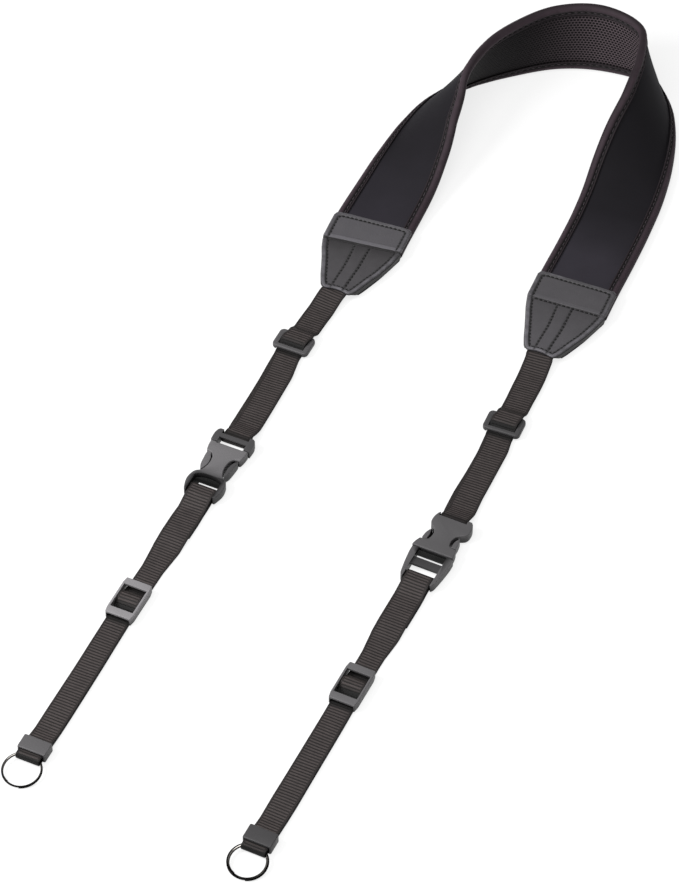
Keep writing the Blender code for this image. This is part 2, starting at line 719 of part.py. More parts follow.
def lower_path(row):
    """Sewn end, round the buckle's bar, over the adjuster's middle bar, round the ring, and back."""
    pin = row["lower_pin"]
    turn = (PIN_LOOP_TOP - PIN_LOOP_BOTTOM) / 2
    loop = row["adjuster"] + ADJUSTER_LOOP
    upper_end, lower_end = row["keeper"]
    fold = row["fold_end"]
    out = [
        (pin - 36.0, WEB_LOW, 0.0),
        (pin - 12.0, WEB_LOW, 8.0),
        (pin - 6.0, PIN_LOOP_BOTTOM, 6.0),
        (pin + turn, PIN_LOOP_BOTTOM, turn),
        (pin + turn, PIN_LOOP_TOP, turn),
        (pin - 5.0, PIN_LOOP_TOP, 6.0),
        (pin - 16.0, WEB_HIGH, 10.0),
        (pin - 38.0, WEB_HIGH, 12.0),
        (pin - 50.0, WEB_LOW, 12.0),
        (loop + 12.0, WEB_LOW, 6.0),
        (loop + 6.4, 1.3, 3.0),
        (loop + 1.9, OVER_ADJUSTER_BAR, 2.0),
        (loop - 1.9, OVER_ADJUSTER_BAR, 2.0),
        (loop - 6.0, WEB_HIGH, 3.0),
        (upper_end + 9.0, WEB_HIGH, 10.0),
        (lower_end + 1.4, 5.15, 3.0),
        (fold + 2.9, FOLD_TOP, 3.0),
        (fold, FOLD_TOP, FOLD_RADIUS),
        (fold, FOLD_BOTTOM, FOLD_RADIUS),
        (upper_end + 2.0, FOLD_BOTTOM, 8.0),
        (upper_end + 12.0, WEB_LOW, 8.0),
    ]
    return out + loop_over_bar(loop, ADJUSTER_LOOP_RADIUS, WEB_LOW)


# ---------------------------------------------------------------- hardware
def build_slider(name, leg, frame):
    centre = leg.row["slider"]
    half = SLIDER_LENGTH / 2
    inner = half - SLIDER_END_BAR
    bar = SLIDER_LOOP
    openings = [
        (box_outline(SLOT_HALF, -inner, bar - 1.0), BELOW, ABOVE),
        (box_outline(SLOT_HALF, bar + 1.0, inner), BELOW, ABOVE),
        (box_outline(SLOT_HALF, bar - 1.2, bar + 1.2), 3.3, ABOVE),
        (box_outline(SLOT_HALF, bar - 1.2, bar + 1.2), BELOW, PIN_BOTTOM),
        (box_outline(SLOT_HALF, -half - PAST, -inner + 0.1), BELOW, 2.8),
        (box_outline(SLOT_HALF, inner - 0.1, half + PAST), BELOW, 2.8),
    ]
    body = prism(rounded_box(SLIDER_HALF, SLIDER_LENGTH, 3.0), *SLIDER_LEVELS)
    x, y, angle = leg.place(centre)
    beside = between(leg.row["over"], y)
    return moulded(name, body, openings, 0.6, frame, (x + beside, y, angle))


def build_adjuster(name, leg, frame):
    centre = leg.row["adjuster"]
    half = ADJUSTER_LENGTH / 2
    inner = half - ADJUSTER_END_BAR
    bar = ADJUSTER_LOOP
    wide = leg.half_width(centre) + 2 * GAP
    openings = [
        (box_outline(wide, -inner, bar - 0.8), BELOW, ABOVE),
        (box_outline(wide, bar + 0.8, inner), BELOW, ABOVE),
        (box_outline(wide, bar - 1.0, bar + 1.0), 3.0, ABOVE),
        (box_outline(wide, bar - 1.0, bar + 1.0), BELOW, 1.7),
        (box_outline(wide, -half - PAST, -inner + 0.1), BELOW, 4.9),
        (box_outline(wide, inner - 0.1, half + PAST), BELOW, 4.9),
    ]
    outline = [(ADJUSTER_END_HALF, half), (ADJUSTER_HALF, half - 4.0),
               (ADJUSTER_HALF, 4.0 - half), (ADJUSTER_END_HALF, -half)]
    outline += [(-x, y) for x, y in reversed(outline)]
    body = prism(outline, GAP, ADJUSTER_TOP)
    return moulded(name, body, openings, 0.4, frame, leg.place(centre))


def build_keeper(name, leg, frame):
    upper_end, lower_end = leg.row["keeper"]
    length = upper_end - lower_end
    opening = [(box_outline(leg.half_width(lower_end) + GAP, -length, length), 0.6, 6.0)]
    body = prism(rounded_box(KEEPER_HALF, length, 0.8, 1), 0.0, KEEPER_TOP)
    return moulded(name, body, opening, 0.6, frame, leg.place((upper_end + lower_end) / 2))


def cut_box(down_0, down_1, low, high, half=SLOT_HALF):
    return box_outline(half, -down_0, -down_1), low, high


def pin_openings(pin_down, towards, edge_down):
    """Openings round a bar that carries a webbing loop.

    towards is +1 where the webbing's turn lies further down the buckle, and -1 where it lies
    further up.  edge_down is a place past the end of the buckle that the webbing comes from.
    """
    inner = pin_down + towards * PIN_INNER
    outer = pin_down - towards * PIN_OUTER
    return [
        cut_box(edge_down, outer, BELOW, ABOVE),
        cut_box(edge_down, inner + towards * 0.2, PIN_TOP, COVER_UNDERSIDE),
        cut_box(edge_down, inner + towards * 0.2, BELOW, PIN_BOTTOM),
    ]


def arch_pocket(down, reach, half, steps=10):
    """Half ellipse on the plate side of the webbing slot."""
    curve = []
    for i in range(steps + 1):
        angle = math.pi * i / steps
        curve.append((half * math.cos(angle), -down + reach * math.sin(angle)))
    return curve


def buckle_place(leg):
    top = leg.row["buckle_top"]
    middle = top - BUCKLE_MIDDLE
    x, _, angle = leg.place(middle)
    return x - BUCKLE_MIDDLE * math.sin(angle), middle + BUCKLE_MIDDLE * math.cos(angle), angle


def build_left_buckle(leg, frame):
    top = leg.row["buckle_top"]
    upper = top - leg.row["upper_pin"]
    lower = top - leg.row["lower_pin"]
    place = buckle_place(leg)
    turn_end = 13.0
    male_openings = pin_openings(upper, 1, -PAST) + [
        cut_box(-PAST, 3.2, PIN_TOP, ABOVE),
        cut_box(upper + PIN_INNER, turn_end, BELOW, COVER_UNDERSIDE),
        cut_box(6.4, turn_end, BELOW, ABOVE),
        cut_box(10.35, 20.1, BELOW, NECK_BOTTOM, 14.0),
        cut_box(10.35, 20.1, NECK_TOP, ABOVE, 14.0),
    ]
    body = prism(mirrored(LEFT_MALE), BUCKLE_BOTTOM, LEFT_MALE_TOP)
    moulded("left_buckle_male", body, male_openings, 0.5, frame, place)
    bottom_edge = LEFT_FEMALE[-1][0] + PAST
    window = arch_pocket(41.3, 3.8, 9.4)
    female_openings = pin_openings(lower, -1, bottom_edge) + [
        cut_box(8.0, 21.4, MOUTH_BOTTOM, MOUTH_TOP, MOUTH_HALF),
        cut_box(10.0, LIP_END, LIP_TOP, ABOVE, LIP_HALF),
        cut_box(41.2, lower - PIN_INNER, BELOW, ABOVE),
        cut_box(lower - PIN_INNER - 0.1, bottom_edge, PIN_TOP, ABOVE),
        (window, WINDOW_FLOOR_TOP, ABOVE),
        (window, BELOW, WINDOW_FLOOR_BOTTOM),
    ]
    body = prism(mirrored(LEFT_FEMALE), BUCKLE_BOTTOM, FEMALE_TOP)
    moulded("left_buckle_female", body, female_openings, 0.5, frame, place)


def build_right_buckle(leg, frame):
    top = leg.row["buckle_top"]
    upper = top - leg.row["upper_pin"]
    lower = top - leg.row["lower_pin"]
    place = buckle_place(leg)
    female_openings = pin_openings(upper, 1, -PAST) + [
        cut_box(upper + PIN_INNER, 8.7, BELOW, COVER_UNDERSIDE),
        cut_box(22.4, 34.0, MOUTH_BOTTOM, MOUTH_TOP, MOUTH_HALF),
    ]
    body = prism(mirrored(RIGHT_FEMALE), BUCKLE_BOTTOM, FEMALE_TOP)
    moulded("right_buckle_female", body, female_openings, 0.5, frame, place)
    bottom_edge = 58.0 + PAST
    male_openings = pin_openings(lower, -1, bottom_edge) + [
        cut_box(23.5, 31.25, BELOW, NECK_BOTTOM, 14.0),
        cut_box(23.5, 31.25, NECK_TOP, ABOVE, 14.0),
        cut_box(31.2, 34.8, 4.2, ABOVE, RIGHT_WINDOW_HALF),
        cut_box(31.2, 34.8, BELOW, NECK_BOTTOM, RIGHT_WINDOW_HALF),
        cut_box(34.7, 37.5, BELOW, ABOVE, RIGHT_WINDOW_HALF),
        cut_box(37.4, 42.0, 5.2, ABOVE, RIGHT_WINDOW_HALF),
        cut_box(37.4, 42.0, BELOW, 3.4, RIGHT_WINDOW_HALF),
        cut_box(41.9, lower - PIN_INNER, BELOW, ABOVE, RIGHT_WINDOW_HALF),
        cut_box(lower - PIN_INNER - 0.1, bottom_edge, PIN_TOP, ABOVE),
    ]
    body = prism(mirrored(RIGHT_MALE), BUCKLE_BOTTOM, RIGHT_MALE_TOP)
    moulded("right_buckle_male", body, male_openings, 0.5, frame, place)


def build_ring(name, leg, frame):
    """Two-turn coil that leans from the webbing's fold down to the table."""
    far_y = leg.row["ring_far"]
    near_height = RING_WIRE / 2 + RING_PITCH * RING_TURNS / 2
    tilt = math.asin((FOLD_MIDDLE - 0.05 - near_height) / (2 * RING_RADIUS))
    curve = bpy.data.curves.new(name, "CURVE")
    curve.dimensions = "3D"
    curve.bevel_depth = RING_WIRE / 2 * MM
    curve.bevel_resolution = 1
    curve.render_resolution_u = 0
    curve.use_fill_caps = True
    count = round(RING_TURNS * RING_POINTS_PER_TURN)
    wire = curve.splines.new("POLY")
    wire.points.add(count)
    for i in range(count + 1):
        turned = i / RING_POINTS_PER_TURN
        angle = math.radians(RING_START) + 2 * math.pi * turned
        height = RING_PITCH * (turned - RING_TURNS / 2)
        x = RING_RADIUS * math.cos(angle)
        y = RING_RADIUS * math.sin(angle)
        wire.points[i].co = (x * MM, y * MM, height * MM, 1.0)
    ring = add_object(name, curve, "steel", frame)
    centre_y = far_y - RING_RADIUS * math.cos(tilt)
    ring.location = (leg.x(centre_y) * MM, centre_y * MM, (FOLD_MIDDLE + near_height) / 2 * MM)
    ring.rotation_euler = (tilt, 0.0, 0.0)
    return ring


# ---------------------------------------------------------------- assembly
def centre_frame(frame):
    """Moves the whole strap so that the origin is under the middle of its bounding box."""
    bpy.context.view_layer.update()
    points = []
    depsgraph = bpy.context.evaluated_depsgraph_get()
    for piece in frame.children:
        shape = piece.evaluated_get(depsgraph)
        points += [piece.matrix_world @ vertex.co for vertex in shape.to_mesh().vertices]
        shape.to_mesh_clear()
    for axis in range(2):
        low = min(point[axis] for point in points)
        high = max(point[axis] for point in points)
        frame.location[axis] = -(low + high) / 2


def main():
    clear_scene()
    frame = bpy.data.objects.new("strap_frame", None)
    bpy.context.scene.collection.objects.link(frame)
    ribbon = Ribbon(ARCH_ROUTE)
    starts = (ribbon.at_y(LEFT_PATCH_TOP_Y, False), ribbon.at_y(RIGHT_PATCH_TOP_Y, True))
    legs = {side: Leg(row) for side, row in LEGS.items()}
    build_pad(ribbon, starts, legs, frame)
    build_lining(ribbon, starts, frame)
    build_binding("binding_bottom", False, ribbon, starts, frame)
    build_binding("binding_top", True, ribbon, starts, frame)
    for side, start in zip(("left", "right"), starts):
        leg = legs[side]
        build_patch(side + "_end_patch", side, ribbon, start, frame)
        build_webbing(side + "_upper_webbing", leg, upper_path(leg.row), frame)
        build_webbing(side + "_lower_webbing", leg, lower_path(leg.row), frame)
        build_slider(side + "_slider", leg, frame)
        build_adjuster(side + "_adjuster", leg, frame)
        build_keeper(side + "_keeper", leg, frame)
        build_ring(side + "_split_ring", leg, frame)
    build_left_buckle(legs["left"], frame)
    build_right_buckle(legs["right"], frame)
    centre_frame(frame)


main()
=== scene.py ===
"""Dressed camera neck strap: neoprene pad, leather end patches, ribbed webbing and moulded fittings.

Sizes are in millimetres on the strap's own plan, and are turned into metres when a mesh is made.
X runs across the legs, +Y runs towards the pad's arch, +Z is up and the table is z = 0.
"""

from math import asin, atan2, ceil, copysign, cos, degrees, dist, exp, hypot, pi, radians, sin, tan

import bmesh
import bpy
import numpy as np
from mathutils import Matrix, Vector, noise


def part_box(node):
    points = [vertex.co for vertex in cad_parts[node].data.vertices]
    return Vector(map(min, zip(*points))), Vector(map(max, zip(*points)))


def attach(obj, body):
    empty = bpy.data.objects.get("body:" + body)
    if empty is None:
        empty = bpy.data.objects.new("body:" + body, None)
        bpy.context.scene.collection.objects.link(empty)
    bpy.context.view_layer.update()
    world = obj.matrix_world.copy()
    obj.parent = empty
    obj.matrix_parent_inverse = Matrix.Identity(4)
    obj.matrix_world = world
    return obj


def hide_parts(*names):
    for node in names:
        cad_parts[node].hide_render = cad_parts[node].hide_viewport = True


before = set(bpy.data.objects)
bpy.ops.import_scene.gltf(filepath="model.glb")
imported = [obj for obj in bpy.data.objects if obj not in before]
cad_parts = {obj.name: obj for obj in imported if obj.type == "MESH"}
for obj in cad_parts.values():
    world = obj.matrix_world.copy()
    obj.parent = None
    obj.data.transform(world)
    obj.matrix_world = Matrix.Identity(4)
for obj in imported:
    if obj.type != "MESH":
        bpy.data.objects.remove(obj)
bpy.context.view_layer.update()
MM = 0.001

# ---------------- sizes of the solids
GAP = 0.3
PAD_WIDTH = 53
HALF_THICK = 3  # over the edge binding
TAPE_COVER = 7  # width of the binding on each face
LINING_WALL = 0.7
CORE_EDGE_TOP = 2  # pad faces, measured from the middle plane
CORE_EDGE_BOTTOM = -1
CORE_CROWN = 0.8
CORE_HALF = 23.7
CROWN_HALF = 19
FAN_HALF = 25.9
FAN_BOTTOM = -2
LABEL_HEIGHT = HALF_THICK + GAP
FAN_HEIGHT = CORE_EDGE_TOP + GAP
PATCH_WALL = 1.2
PATCH_DIP = 1.5

WEB_END_HALF = 8.8  # half width of the webbing's end inside the patch
WEB_WALL = 1.1
WEB_LOW = WEB_WALL / 2
WEB_HIGH = WEB_WALL * 1.5 + GAP
WEB_IN_PATCH = HALF_THICK + 1.3
TAIL_IN_PATCH = 37
LAYER_SPLIT = 1.2  # webbing above this height is the upper of two layers
SLOT_HALF = 9

PIN_TOP = 4.3
PIN_BOTTOM = 2.3
PIN_INNER = 0.9
PIN_OUTER = 2.2
PIN_LOOP_TOP = 5.45
PIN_LOOP_BOTTOM = 1.1
OVER_SLIDER_END = 5.8
OVER_ADJUSTER_BAR = 5.5
FOLD_RADIUS = 2.15
FOLD_BOTTOM = 1.35
FOLD_TOP = FOLD_BOTTOM + 2 * FOLD_RADIUS
FOLD_MIDDLE = FOLD_BOTTOM + FOLD_RADIUS

ARCH_ROUTE = [
    # x, y: outer edge of the pad on the table; lean: tilt of its width in degrees
    (-79.2, 110.9, 0), (-82, 143.5, 0), (-84.5, 176, 0), (-84.9, 209.9, 5.2),
    (-84.6, 240.7, 17.1), (-82, 272.6, 34.2), (-74.8, 303.2, 50.4), (-58.2, 329.4, 68.4),
    (-36.3, 351.5, 83), (-11.2, 371.3, 93.1), (17.3, 382.6, 94.5), (48.9, 384.6, 80.5),
    (72, 366.6, 62.5), (87.1, 340.6, 46.5), (97.4, 310.8, 24.5), (103.9, 278.5, 6.5),
    (107, 245.5, 0), (108.5, 215, 0), (109.3, 185.3, 0), (111, 151, 0),
    (112.8, 116.5, 0),
]
PATCH_TOPS = (176.4, 184.3)
PATCH_OUTLINE = [
    # down, half width
    (0, 23.9), (0.9, 25.6), (3, 26.5), (21.3, 26.4), (22.6, 26.1), (25, 25.3), (43, 19.4),
    (61.5, 13.2), (64.1, 12), (65.7, 10.5), (66.5, 8.7),
]
FAN_SWELL = [(22, 0), (24, 0.45), (32, 1.1), (45, 1), (56, 0.2), (61, -0.5), (63.5, -0.9), (65.5, -1.2)]
TIP_LEAN = {"left": -1.7, "right": 1.9}  # the tips are sewn on a little to one side
SIDE_LIP = 2.6  # the fan's leather is turned down over the pad's side
BAND_WEAR_AND_LIGHT = {"left": 0.42, "right": 0.3}  # how much paler the label band is, partly rubbed and partly painted light
# how much paler each fan is
FAN_PALENESS = {"left": 0.12, "right": 0.24}
STEP_MARK = {"left": 1, "right": 0.25}  # the left patch has a sharp step, the right one a flat seam; this also scales the painted shade under the step and the painted highlight above it
PATCH_SKEW = {"left": -0.045, "right": 0}  # the patches are sewn on a little turned
PATCH_SHIFT = {"left": [(0, -1), (22, 1.1), (45, 0)], "right": [(0, 0)]}
TIP_DROP = 1.5  # the tip reaches a little further down the webbing
TIP_SLANT = {"left": 0.075, "right": -0.075}
PATCH_END_DIP = [(43, 0), (61.5, 0.3), (64.1, 0.7), (65.7, 0.9), (66.5, 1)]
PATCH_LENGTH = 66.5
FAN_START = 21.3
FAN_LEVEL = 22.6
FAN_END = 61
TAPE_END = 20.6

# Each leg's tables have y first.  route: x.  half: the webbing's half width, drawn together at the
# adjuster.  over and under: sideways place of its upper and lower layer against the route.
LEGS = {
    "left": {
        "route": [(-300, -56.3), (-230, -56.7), (-200, -57.2), (-172, -57.6), (-152, -57.4),
                  (-120, -57), (-55, -56.6), (0, -57), (45, -58.2), (85, -58),
                  (105, -56.8), (118, -55.7), (156, -55.2)],
        "half": [(-300, 7.5), (-275, 7.6), (-260, 7.7), (-230, 7.5), (-190, 7.35),
                 (-150, 7.2), (-140, 7.2), (-133, 7.8), (-122, 8.8), (-98, 8.9), (-90, 8.6)],
        "over": [(-27, 0), (-19, 1.1), (4, 1), (34, 0.9), (52, -1.7),
                 (61, -1.8), (64, -0.9), (68, 0), (73, 0.1), (80, 0.1), (94, 0.4),
                 (106, 0)],
        "under": [(-27, 0), (-18, -1.4), (4, -1.3), (28, -1.1), (50, -1.8),
                  (66, -1.8), (77, 0.4), (94, 0.4), (106, 0)],
        "patch_end": 112.5,
        "slider": 61,
        "buckle_top": -26.5,
        "upper_pin": -29.5,
        "lower_pin": -73.4,
        "adjuster": -170,
        "keeper": (-283.4, -293.2),
        "ring_far": -293,
        "fold_end": -297.9,
    },
    "right": {
        "route": [(-300, 87.1), (-260, 87.7), (-235, 88), (-200, 88.3), (-175, 88.3),
                  (-152, 88.8), (-95, 89.8), (-30, 90.7), (40, 89), (106, 85.6),
                  (118, 84.4), (156, 83.2)],
        "half": [(-275, 7.5), (-260, 7.7), (-230, 7.5), (-190, 7.4),
                 (-150, 7.2), (-144, 7.3), (-138, 7.9), (-128, 8.8), (-98, 8.9), (-90, 8.6),
                 (76, 8.6), (88, 8.9), (100, 8.9), (112, 8.75)],
        "over": [(-31.5, 0), (-23, 0.9), (-8, 0), (16, 0.2), (33, 0.4),
                 (44, -1.1), (53, -1.2), (57, -0.4), (62, 0.2), (72, 0.3), (94, 0.6),
                 (106, 0.3), (118, 0)],
        "under": [(-31.5, 0), (-24, -1.2), (-8, -1.6), (10, -0.8), (28, -0.5),
                  (43, -1.2), (58, -1.2), (68, 0.1), (94, 0.6), (106, 0.3), (118, 0)],
        "patch_end": 117,
        "slider": 53,
        "buckle_top": -31,
        "upper_pin": -36.5,
        "lower_pin": -81,
        "adjuster": -172.2,
        "keeper": (-285.6, -296),
        "ring_far": -295.7,
        "fold_end": -300.6,
    },
}
SLIDER_LENGTH, SLIDER_HALF, SLIDER_LOOP, SLIDER_LOOP_RADIUS = 15.6, 12.1, 1.15, 2.1
SLIDER_BOTTOM, SLIDER_TOP, SLIDER_END_BAR = 1.2, 4.8, 2.6
ADJUSTER_LENGTH, ADJUSTER_HALF, ADJUSTER_LOOP, ADJUSTER_LOOP_RADIUS = 28.5, 8.9, 1.5, 1.8
ADJUSTER_TOP, ADJUSTER_END_BAR = 6.5, 5
KEEPER_HALF, KEEPER_TOP = 8.9, 6.8

# Buckle outlines: distance down from the upper end, and half width there.
LEFT_MALE = [
    # down, half width
    (0, 10.9), (1.2, 12.5), (4.5, 13.3), (10.3, 13.1), (10.4, 10.2), (19.8, 10.2), (20.3, 10.4),
    (22.5, 10.5), (25.5, 10.3), (31, 9.7), (33.5, 8.8), (35, 8.1),
    (33.6, 7.1), (29.5, 5.8), (24.5, 6.1), (21.5, 7.4), (16, 8.2), (16, 0),
]
LEFT_SCOOP = [(20, 4), (20, 10.1), (21.4, 9.9), (22.6, 8.7), (24.5, 7.8), (28, 7.3), (31, 7.3),
              (33.5, 7.6), (34.6, 7.2), (34.6, 4)]
LEFT_FEMALE = [
    (10.8, 12.6), (15.5, 12.3), (19.5, 11.4), (20.1, 8), (21.3, 6.8), (23.5, 5.7), (28.5, 5.3),
    (33, 6.3), (35.2, 7.5), (37, 10), (39.2, 11.4), (43, 12.3), (46.5, 12.2),
    (50, 11.3), (53.2, 10.2),
]
RIGHT_FEMALE = [
    (0.3, 10.2), (1.5, 11.2), (4, 12.2), (7, 12.6), (10, 12.3), (12, 11), (13.3, 9),
    (15, 7), (19, 6.2), (22.5, 6.8), (23.7, 7.8), (24.3, 11.9), (28, 13), (31, 13.3),
]
# How far the right plate and the prongs beside it bend sideways on their way down.
PLATE_BEND = [(0, 1.3), (12, 1.2), (18, 0.3), (24, 0), (31, -0.7)]
PRONG_BEND = [(12, 1.2), (18, 0.3), (24, 0)]
NO_BEND = [(0, 0)]
PLATE_FADE = [(33, 1), (37.5, 0.5), (60, 0.4)]  # painted shade: the left plate is darker at its arch
RIGHT_MALE = [
    (55.4, 9.9), (53.6, 10.9), (50, 11.6), (44, 12.5), (36, 13.3), (31.3, 13.3),
    (31.2, 10.2), (23.7, 10.2), (23.2, 11.1), (19.5, 10.9), (16.2, 10.1), (14.7, 9.3),
    (14.3, 8.2), (15.3, 7.3), (18, 6.7), (22, 7.2), (24.2, 8.2), (28, 8.2), (28, 0),
]
RIGHT_SCOOP = [(14.5, 4), (14.5, 8.9), (16, 9.1), (17.5, 8.4), (20, 8), (22.6, 8.2), (23.4, 7.6), (23.4, 4)]
BUCKLE_MIDDLE = 28
BUCKLE_BOTTOM = 0.9
FEMALE_TOP = 7.4
LEFT_MALE_TOP = 7.2
RIGHT_MALE_TOP = 6.9
COVER_UNDERSIDE = 6.3
NECK_BOTTOM = 2.9
NECK_TOP = 5.3
MOUTH_HALF = 10.5
LIP_END, LIP_TOP, LIP_HALF = 11.9, 6.4, 8.6
WINDOW_FLOOR_TOP, WINDOW_FLOOR_BOTTOM = 3.6, 2.6
LEFT_WINDOW_FOOT = -5.4  # the left buckle's floor reaches further down on this side of the slot
RIGHT_WINDOW_HALF = 9.2
BELOW, ABOVE, PAST = -1, 9, 3

# ---------------- sizes of the surface detail
RIB_PITCH = 2  # cross ribs of the webbing
RIB_DEPTH = 0.26
TAPE_STITCH = 4.4  # stitch spacing on the edge binding, with its pucker
TAPE_STITCH_PLACE = 5.2  # stitch line's distance from the pad's edge
LEATHER_STITCH = 3
LEATHER_STITCH_LENGTH = 2.5
RIM_WIDTH = 3  # turned edge of the leather
RIM_HEIGHT = 0.45
SEAM_INSET = RIM_WIDTH + 0.5  # the edge seam's groove
SEAM_RISE = 0.3  # the upper seam's distance starts this far above the patch's top
SEAM_STEP = 0.8
FAN_SIDE_SLOPE = 0.95  # the fan's sides slope, so their distance is shorter than across
INNER_CORNER = 5.5  # radius of the seam at the patch's upper corners
STEP_DOWN = {"left": 22.6, "right": 23.3}  # where the label band steps down to the fan
TAPE_CORNERS = [(TAPE_COVER, HALF_THICK), (2.2, HALF_THICK), (0.7, 2.35), (0, 1.1),
                (0, -1.1), (0.7, -2.35), (2.2, -HALF_THICK), (TAPE_COVER, -HALF_THICK)]
# Section of the edge tape from its hem on the outer face to the pad's edge.
TAPE_PROFILE = [
    # from edge, height, how dark the painted shade is there
    (6.95, 2.3, 1), (7.08, 2.72, 0.9), (7, 3, 0.7), (6.8, 3.1, 0.5), (6.5, 3.06, 0.55),
    (6.2, 2.84, 0.8), (5.9, 2.54, 1), (5.5, 2.36, 1), (4.9, 2.36, 1), (4.6, 2.5, 1),
    (4.3, 2.76, 0.9), (3.9, 3.04, 0.55), (3.2, 3.24, 0.1), (2.5, 3.2, 0), (1.8, 2.92, 0),
    (1.2, 2.46, 0.1), (0.7, 1.95, 0.25), (0.3, 1.35, 0.4), (0.06, 0.7, 0.5), (0, 0, 0.55),
]
TAPE_INSIDE = [(0.8, 0), (0.8, 0.9), (1.3, 1.6), (2.4, 2.2), (4.5, 2.2), (6.9, 2.2)]
PAD_STEP = 1.9  # between the pad's sections
PATCH_PARTS = 36
PAD_PARTS = 22  # points on each side of a section's middle
# Painted shade on the jersey, by the distance down from the patch: how much of its own colour it shows, dark
# inside the arch.
JERSEY_PAINTED_SHADE = {"left": [(-130, 0.3), (-70, 0.36), (-30, 0.7), (0, 0.84)],
               "right": [(-130, 0.22), (-70, 0.33), (-24, 1)]}
MESH_CELL = (2.3, 2)  # drawn coarser than the real mesh, so that it shows
LEATHER_GRAIN = 0.9
RIDGE_SCALE = 0.3184  # the wave texture's scale for ridges one unit apart
STITCH_ARCH = [  # part of the stitch's length, rise, thickness
    (0, -0.25, 0.45), (0.12, 0.35, 0.85), (0.3, 0.75, 1), (0.5, 0.9, 1),
    (0.7, 0.75, 1), (0.88, 0.35, 0.85), (1, -0.25, 0.45),
]
STITCH_HEIGHT = 0.42
STITCH_LIFT = 0.12  # the leather's stitches stand this far over its grooves
PIN_TURN = (PIN_LOOP_TOP - PIN_LOOP_BOTTOM) / 2
# Half of the webbing's section: part of its half width, part of its wall there.
WEB_EDGE = [(0.2, 1), (0.4, 1), (0.6, 1), (0.79, 1), (0.83, 0.94), (0.88, 0.94), (0.95, 0.92),
            (0.985, 0.7), (1, 0.3)]
WEB_SECTION = [(-part, wall) for part, wall in WEB_EDGE[::-1]] + [(0, 1)] + WEB_EDGE
SELVEDGE = 0.81  # the ribs end here, as a part of the half width
WEB_EVENING = 12  # rows that even out the sideways place where a layer turns round a bar
FOLD_SHADE = 0.85  # painted shade on the webbing's fold round the ring: its upper band keeps this much of its paleness, its lower half is painted dark
# Painted shade: how pale the ribs are, by y from each fitting, darker where the webbing dives under a bar and
# in its fold.
WEB_SHADES = {
    "keeper": [(-4.2, 0), (-3.4, FOLD_SHADE), (-1, FOLD_SHADE), (-0.4, 0.05), (0.4, 0.05), (1.5, 1)],
    "adjuster": [(-17.5, 1), (-14.8, 0.3), (-9.2, 0.3), (-8.6, 0.1), (-3.8, 0.1), (-1.6, 1), (6, 1),
                 (9, 0.4), (14, 0.4), (15.5, 1)],
    "buckle_top": [(-16, 1), (-6, 0.55), (0.3, 0.55), (1.6, 1)],
    "slider": [(-12, 1), (-9.6, 0.45), (-7.8, 0.2), (-2.2, 0.15), (-0.2, 1), (8, 1), (9.5, 0.75), (14, 1)],
}
# Painted light: how pale the top of each leg's fittings is, by how the light falls on each.
SLIDER_TONE = {"left": 0.34, "right": 0.25}
ADJUSTER_TONE = {"left": 1, "right": 0.5}
KEEPER_TONE = {"left": 0.4, "right": 0.22}
PLATE_TONE = {"left": 0.6, "right": 0.38}
PRONG_TONE = {"left": 0.26, "right": 0.4}
LEDGE = 3.4  # the prongs' inner sides are hollowed down to this height
RECESS_DEPTH = 3.2  # painted shade: moulded faces this far below a fitting's top are dark
FINE_EDGE = 0.14  # radius on the openings' edges
RING_RADIUS, RING_WIRE, RING_PITCH, RING_TURNS, RING_START = 11.3, 0.8, 0.9, 1.9, -72
RING_STEPS, WIRE_SIDES = 96, 14
WIRE_WIDTH = {"left": 1.25, "right": 1.8}  # the wire is rolled flat, wider than it is high
TABLE_HALF, TABLE_DROP = 6, 0.0002  # in metres, like the lamps' places
CAMERA_PLACE, CAMERA_RIGHT, CAMERA_LENS = (608, -1303.8, 1597.8), (0.9063, 0.4226, 0), 142.7


# ---------------- curves
def spline(points, steps=10):
    """Curve through its points, with the same number of steps between each two."""
    padded = [points[0], *points, points[-1]]
    curve = []
    for corners in zip(padded, padded[1:], padded[2:], padded[3:]):
        for step in range(steps):
            t = step / steps
            curve.append([0.5 * (2 * b + (c - a) * t + (2 * a - 5 * b + 4 * c - d) * t * t
                                 + (3 * b - a - 3 * c + d) * t * t * t)
                          for a, b, c, d in zip(*corners)])
    return np.array([*curve, points[-1]])


def read(table, value):
    """Result of a table of (place, result) rows, straight between rows and even past its ends."""
    return float(np.interp(value, *zip(*table)))


def smooth_step(t):
    t = min(1, max(0, t))
    return t * t * (3 - 2 * t)


def bell(x, width):
    return exp(-(x / width) ** 2)


def rough(x, y, z):
    """Smooth noise, the same in each run."""
    return noise.noise(Vector((x, y, z)))


def steps_between(start, end, spacing):
    count = max(1, round(abs(end - start) / spacing))
    return [start + (end - start) * i / count for i in range(count + 1)]


def travelled(points):
    """Distance of each point along the line through them all."""
    return [0, *np.cumsum([dist(a, b) for a, b in zip(points, points[1:])])]


